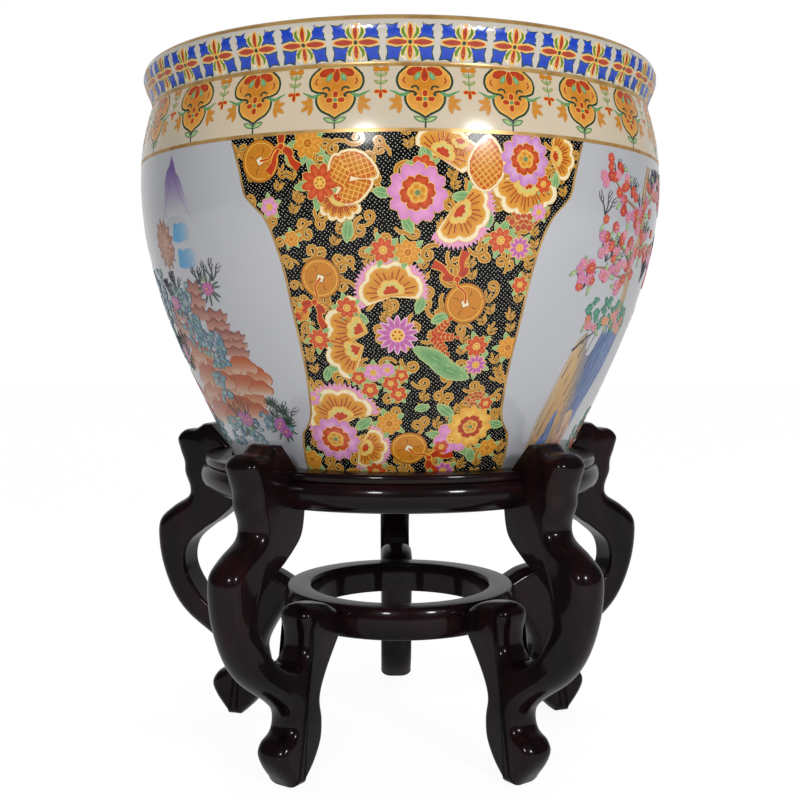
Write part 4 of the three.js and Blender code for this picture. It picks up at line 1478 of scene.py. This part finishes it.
PLANTS = [  # degrees round, middle, width, height, leaves
    (-58, 124, 26, 50, 70), (-50.5, 102, 22, 26, 40), (-36.8, 44, 26, 14, 22), (-72, 142, 34, 40, 50),
    (-54, 72, 18, 22, 24), (-82, 116, 44, 50, 80), (-106, 118, 44, 54, 80), (-128, 106, 40, 44, 50),
    (-52, 36, 44, 20, 40), (-80, 34, 60, 22, 50), (-112, 32, 60, 22, 40),
]
POSIES = [  # degrees round, height, flowers
    (-46, 147, 3), (-35.4, 42, 3), (-62, 140, 3), (-70, 96, 3), (-50, 44, 3), (-94, 130, 5), (-118, 126, 4),
    (-100, 40, 4),
]
REEDS = [(-36.6, 58), (-33.8, 52), (-33.2, 44)]


def draw_landscape(paint):
    """The left-hand reserve: far peaks, drifting mist, and terraces of rock with flowering plants."""
    chance = random.Random(31)
    for theta, foot, wide, tall in PEAKS:
        spot = (FRONT + theta, foot, 0, 1)
        outline = [(x * wide, y * tall) for x, y in PEAK]
        paint.pad(spot, outline, 1, fading(PLUM, 0.86 * tall, 0.24 * tall), heart=(0, 0.25 * tall))
        for x in (-0.3, 0.32):
            fold = [(0, 0.9 * tall), (0.4 * x * wide, 0.5 * tall), (x * wide, 0.16 * tall)]
            twig(paint, spot, fold, 0.7, 2, PLUM)
    for theta, v, wide in MISTS:
        for k in range(2):
            outline = ragged(chance, [(x * wide * 0.62, y * 11) for x, y in BANK], 0.7)
            outline = shifted(outline, chance.uniform(-3, 3), 2.4 - 4.6 * k)
            wash = fading(SKY, -0.2 * wide, 0.75 * wide, sideways=True)
            paint.pad((FRONT + theta, v, 0, 1), outline, 1 + k, wash)
    for theta, v, wide, tall in THICKETS:
        spikes = []
        for i in range(26):
            a, r = math.tau * i / 26, (1 if i % 2 else 0.72)
            spikes.append((wide * 0.5 * r * math.cos(a), tall * 0.5 * r * math.sin(a)))
        paint.pad((FRONT + theta, v, 0, 1), spikes, 5, (188, 150, 130), (150, 98, 78))
        tuft(paint, chance, FRONT + theta, v, wide * 0.7, tall * 0.7, 14, FAR_BROWNS, 6, 3.2)
    for theta, v, wide, tall in TERRACES:
        spot = (FRONT + theta, v, 0, 1)
        for k in range(3):
            outline = [(px * wide, py * tall * 0.8 + tall * (0.3 - 0.3 * k)) for px, py in SLAB]
            light, dark = BROWN_SLABS[k % 2]
            wash = fading(dark, outline[6][1], outline[0][1], mixed(light, PAPER, 0.4))
            paint.pad(spot, outline, 5 + k, wash)
            paint.stroke(spot, outline[2:], 0.5, 9, (120, 60, 52), ridge=0.02)
    for theta, v, wide, tall in CLOUD_ROCKS:
        scalloped_rock(paint, (FRONT + theta, v, 0, 1), wide, tall, 3)
    for theta, v, wide, tall, count in PLANTS:
        tuft(paint, chance, FRONT + theta, v, wide, tall, count, TEALS, 12)
    for theta, v, count in POSIES:
        for turn in range(0, 360, 30):
            spot = (FRONT + theta, v, turn + chance.uniform(-10, 10), 1)
            paint.pad(spot, petal(9, 1.8, start=4, point=0.85, count=8), 15, (92, 124, 104), PINE)
        blossoms(paint, chance, FRONT + theta, v, 12, 9, count, MAUVES, 17, 5.2)
        bare_twigs(paint, chance, FRONT + theta + 2, v + 5, 16, 15)
        bare_twigs(paint, chance, FRONT + theta - 3, v + 3, 13, 15)
    for theta, v in REEDS:
        for k in range(9):
            twig(paint, (FRONT + theta, v, -70 + 17 * k, 1), [(0, 0), (0.4, 4), (0, 8)], 0.9, 16, PINE)


def turned_about(thing, name, degrees_round):
    """A copy of a piece, turned about the bowl's axis."""
    mesh = thing.data.copy()
    mesh.transform(Matrix.Rotation(math.radians(degrees_round), 4, "Z"))
    copy = bpy.data.objects.new(name, mesh)
    bpy.context.scene.collection.objects.link(copy)
    return copy


def draw_edge(edges, path):
    """The gold line down a panel's edge, given as places on the bowl."""
    rows = []
    for theta, v in path:
        radius = at_length(v)[0]
        row = []
        for side, rise in ((-1, SKIRT), (-1, 0.14), (0, 0.2), (1, 0.14), (1, SKIRT)):
            edges.points.append(on_bowl(theta + math.degrees(side * PANEL_LINE / radius), v, rise))
            edges.tints.append(GILT)
            row.append(len(edges.points) - 1)
        rows.append(row)
    for low, high in zip(rows, rows[1:]):
        for k in range(4):
            edges.faces.append((low[k], low[k + 1], high[k + 1], high[k]))


def decorate():
    """Everything that is painted and gilt on the bowl."""
    enamel = enamel_material("painted_enamel")
    wash_enamel = enamel_material("brushed_wash", 0.3)
    gilt = gilding("fired_gold")
    finishes = {
        "cream": glaze("cream_glaze", BAND_IVORY, BAND_CREAM),
        "rim": glaze("rim_glaze", RIM_WHITE, RIM_CLOUD),
        "gold": gilt,
    }
    for name, finish, low, high, lift, steps in BANDS:
        dress(band(name, low, high, lift, steps), finishes[finish], "porcelain", "planter")

    tree, sockets = ring_tree()
    tile, lappet = Enamel(), Enamel()
    draw_rim_tile(tile)
    draw_lappet(lappet)
    rings = (("rim_tiles", tile, TILE_COUNT, FRONT), ("hanging_lappets", lappet, LAPPET_COUNT, LAPPET_FIRST))
    for name, motif, count, first in rings:
        ring = repeated(motif.made(name, enamel), count, first, enamel, tree, sockets)
        dress(ring, None, "porcelain", "planter")

    scrolls, flowers, edges = Enamel(in_panel), Enamel(in_panel), Enamel()
    draw_scrolls(scrolls)
    draw_flowers(flowers)
    for side in (-1, 1):
        draw_edge(edges, [(FRONT + side * panel_half(v), v) for v in range(2, 245, 3)])
    front = [
        brocade_ground(dotted_black("dotted_black_enamel")),
        scrolls.made("brocade_scrolls_front", enamel),
        flowers.made("brocade_flowers_front", enamel),
        edges.made("panel_edges_front", gilt),
    ]
    for piece in front:
        back = turned_about(piece, piece.name.replace("front", "back"), 180)
        for thing in (piece, back):
            dress(thing, None, "porcelain", "planter")

    right, left = Enamel(), Enamel()
    draw_blossom_tree(right)
    draw_landscape(left)
    for name, painting in (("blossom_reserve", right), ("landscape_reserve", left)):
        dress(painting.made(name, wash_enamel), None, "porcelain", "planter")


# ---------------------------------------------------------------- studio

CAMERA_DISTANCE = 933.5
CAMERA_HEIGHT = 330.1
CAMERA_TURN = math.radians(1.55)
CAMERA_TILT = 0.063
LENS = 51.73
SENSOR_WIDTH = 36
LAMPS = [(-15, 16, 2.1, 0.28, 11.5), (29.5, 16.5, 2.1, 0.32, 16)]  # azimuth, elevation, distance, size, power
LAMP_TARGET = (0, 0, 0.4)
# where along Y the room's light grows, from and to, and its strength, from and to
ROOM_LIGHT = (-0.35, 0.45, 0.22, 0.8)
ROOM_MIRRORED = (0.35, 0.95, 0.07, 0.65)  # the same, as glaze and lacquer mirror it
FLOOR_REACH = 6000
FLOOR_GLOW = 1.12
FLOOR_SEEN, FLOOR_MIRRORED = 0.82, 0.2  # share of the floor's glow for the camera, and for what mirrors it


def make_camera():
    camera = bpy.data.objects.new("camera", bpy.data.cameras.new("camera"))
    bpy.context.scene.collection.objects.link(camera)
    camera.data.lens = LENS
    camera.data.sensor_width = SENSOR_WIDTH
    x, y = -math.sin(CAMERA_TURN) * CAMERA_DISTANCE, -math.cos(CAMERA_TURN) * CAMERA_DISTANCE
    camera.location = Vector((x, y, CAMERA_HEIGHT)) * MM
    camera.rotation_euler = (math.pi / 2 - CAMERA_TILT, 0, -CAMERA_TURN)
    bpy.context.scene.camera = camera


def make_lamp(name, azimuth, elevation, distance, size, power):
    lamp = bpy.data.objects.new(name, bpy.data.lights.new(name, "AREA"))
    bpy.context.scene.collection.objects.link(lamp)
    lamp.data.shape = "DISK"
    lamp.data.size = size
    lamp.data.energy = power
    turn, lift = math.radians(azimuth), math.radians(elevation)
    away = Vector((math.sin(turn) * math.cos(lift), -math.cos(turn) * math.cos(lift), math.sin(lift)))
    lamp.location = Vector(LAMP_TARGET) + away * distance
    lamp.rotation_euler = away.to_track_quat("Z", "Y").to_euler()


def eased(nodes, join, source, output, start, end, low, high):
    """A value that eases from low to high while an output runs from start to end."""
    ease = add_node(nodes, "ShaderNodeMapRange", interpolation_type="SMOOTHSTEP")
    tune(ease, From_Min=start, From_Max=end, To_Min=low, To_Max=high)
    join(source, output, ease, "Value")
    return ease


def greater(nodes, join, *outputs):
    """The greater of two outputs, each given as a node and the output's name."""
    most = add_node(nodes, "ShaderNodeMath", operation="MAXIMUM")
    for i, (node, output) in enumerate(outputs):
        join(node, output, most, i)
    return most


def make_world():
    """A room that the camera sees white, and that gives less light from the front than from behind."""
    world = bpy.data.worlds.new("studio")
    bpy.context.scene.world = world
    world.use_nodes = True
    nodes, join = world.node_tree.nodes, joiner(world.node_tree)
    split = nodes.new("ShaderNodeSeparateXYZ")
    join(nodes.new("ShaderNodeTexCoord"), "Generated", split, "Vector")
    rays = nodes.new("ShaderNodeLightPath")
    around = nodes.new("ShaderNodeMix")
    join(rays, "Is Glossy Ray", around, "Factor")
    join(eased(nodes, join, split, "Y", *ROOM_LIGHT), "Result", around, "A")
    join(eased(nodes, join, split, "Y", *ROOM_MIRRORED), "Result", around, "B")
    seen = greater(nodes, join, (rays, "Is Camera Ray"), (rays, "Is Transmission Ray"))
    white = greater(nodes, join, (seen, "Value"), (around, "Result"))
    background = tune(nodes["Background"], Color=(1, 1, 1, 1))
    join(white, "Value", background, "Strength")


def make_floor():
    """A pale floor that keeps the object's shadow, and glows white where the camera or a mirror sees it."""
    r = FLOOR_REACH
    floor = object_from("floor", [(-r, -r, 0), (r, -r, 0), (r, r, 0), (-r, r, 0)], [(0, 1, 2, 3)])
    material, nodes, join, shader = new_material("pale_floor")
    tune(shader, Base_Color=linear(FLOOR_PALE), Roughness=0.6)
    glow = add_node(nodes, "ShaderNodeEmission", Strength=FLOOR_GLOW, Color=(1, 1, 1, 1))
    rays = nodes.new("ShaderNodeLightPath")
    mirrored = add_node(nodes, "ShaderNodeMath", operation="MULTIPLY")
    mirrored.inputs[1].default_value = FLOOR_MIRRORED
    share = add_node(nodes, "ShaderNodeMath", operation="MULTIPLY_ADD")
    share.inputs[1].default_value = FLOOR_SEEN
    mix = nodes.new("ShaderNodeMixShader")
    join(rays, "Is Glossy Ray", mirrored, 0)
    join(greater(nodes, join, (rays, "Is Camera Ray"), (rays, "Is Transmission Ray")), "Value", share, 0)
    join(mirrored, "Value", share, 2)
    join(share, "Value", mix, "Fac")
    join(shader, "BSDF", mix, 1)
    join(glow, "Emission", mix, 2)
    join(mix, "Shader", nodes["Material Output"], "Surface")
    floor.data.materials.append(material)


# ---------------------------------------------------------------- the whole

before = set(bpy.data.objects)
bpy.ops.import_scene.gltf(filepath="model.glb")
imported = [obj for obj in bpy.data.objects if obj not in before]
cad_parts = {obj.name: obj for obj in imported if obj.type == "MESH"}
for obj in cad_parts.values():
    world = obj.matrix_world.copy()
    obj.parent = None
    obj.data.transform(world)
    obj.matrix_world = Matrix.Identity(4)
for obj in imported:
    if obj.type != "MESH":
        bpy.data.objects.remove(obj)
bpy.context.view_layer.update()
bpy.context.scene.view_settings.view_transform = "Standard"

make_camera()
make_world()
make_floor()
for number, lamp_values in enumerate(LAMPS, 1):
    make_lamp(f"lamp_{number}", *lamp_values)

wood_upright = lacquered_wood("lacquer_upright_grain", (60, 60, 9))
wood_flat = lacquered_wood("lacquer_flat_grain", (18, 60, 60))

make_bowl(glaze("white_glaze", GLAZE_WHITE, GLAZE_CLOUD))
decorate()
make_rings(wood_flat)
make_legs(wood_upright)

steel = plain("screw_steel", STEEL, 0.4, 1.0)
beech = plain("beech", BEECH, 0.6)
for number in range(1, LEG_COUNT + 1):
    for node, material in ((f"ring_screw_{number}", steel), (f"ring_dowel_{number}", beech)):
        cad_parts[node].data.materials.clear()
        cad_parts[node].data.materials.append(material)
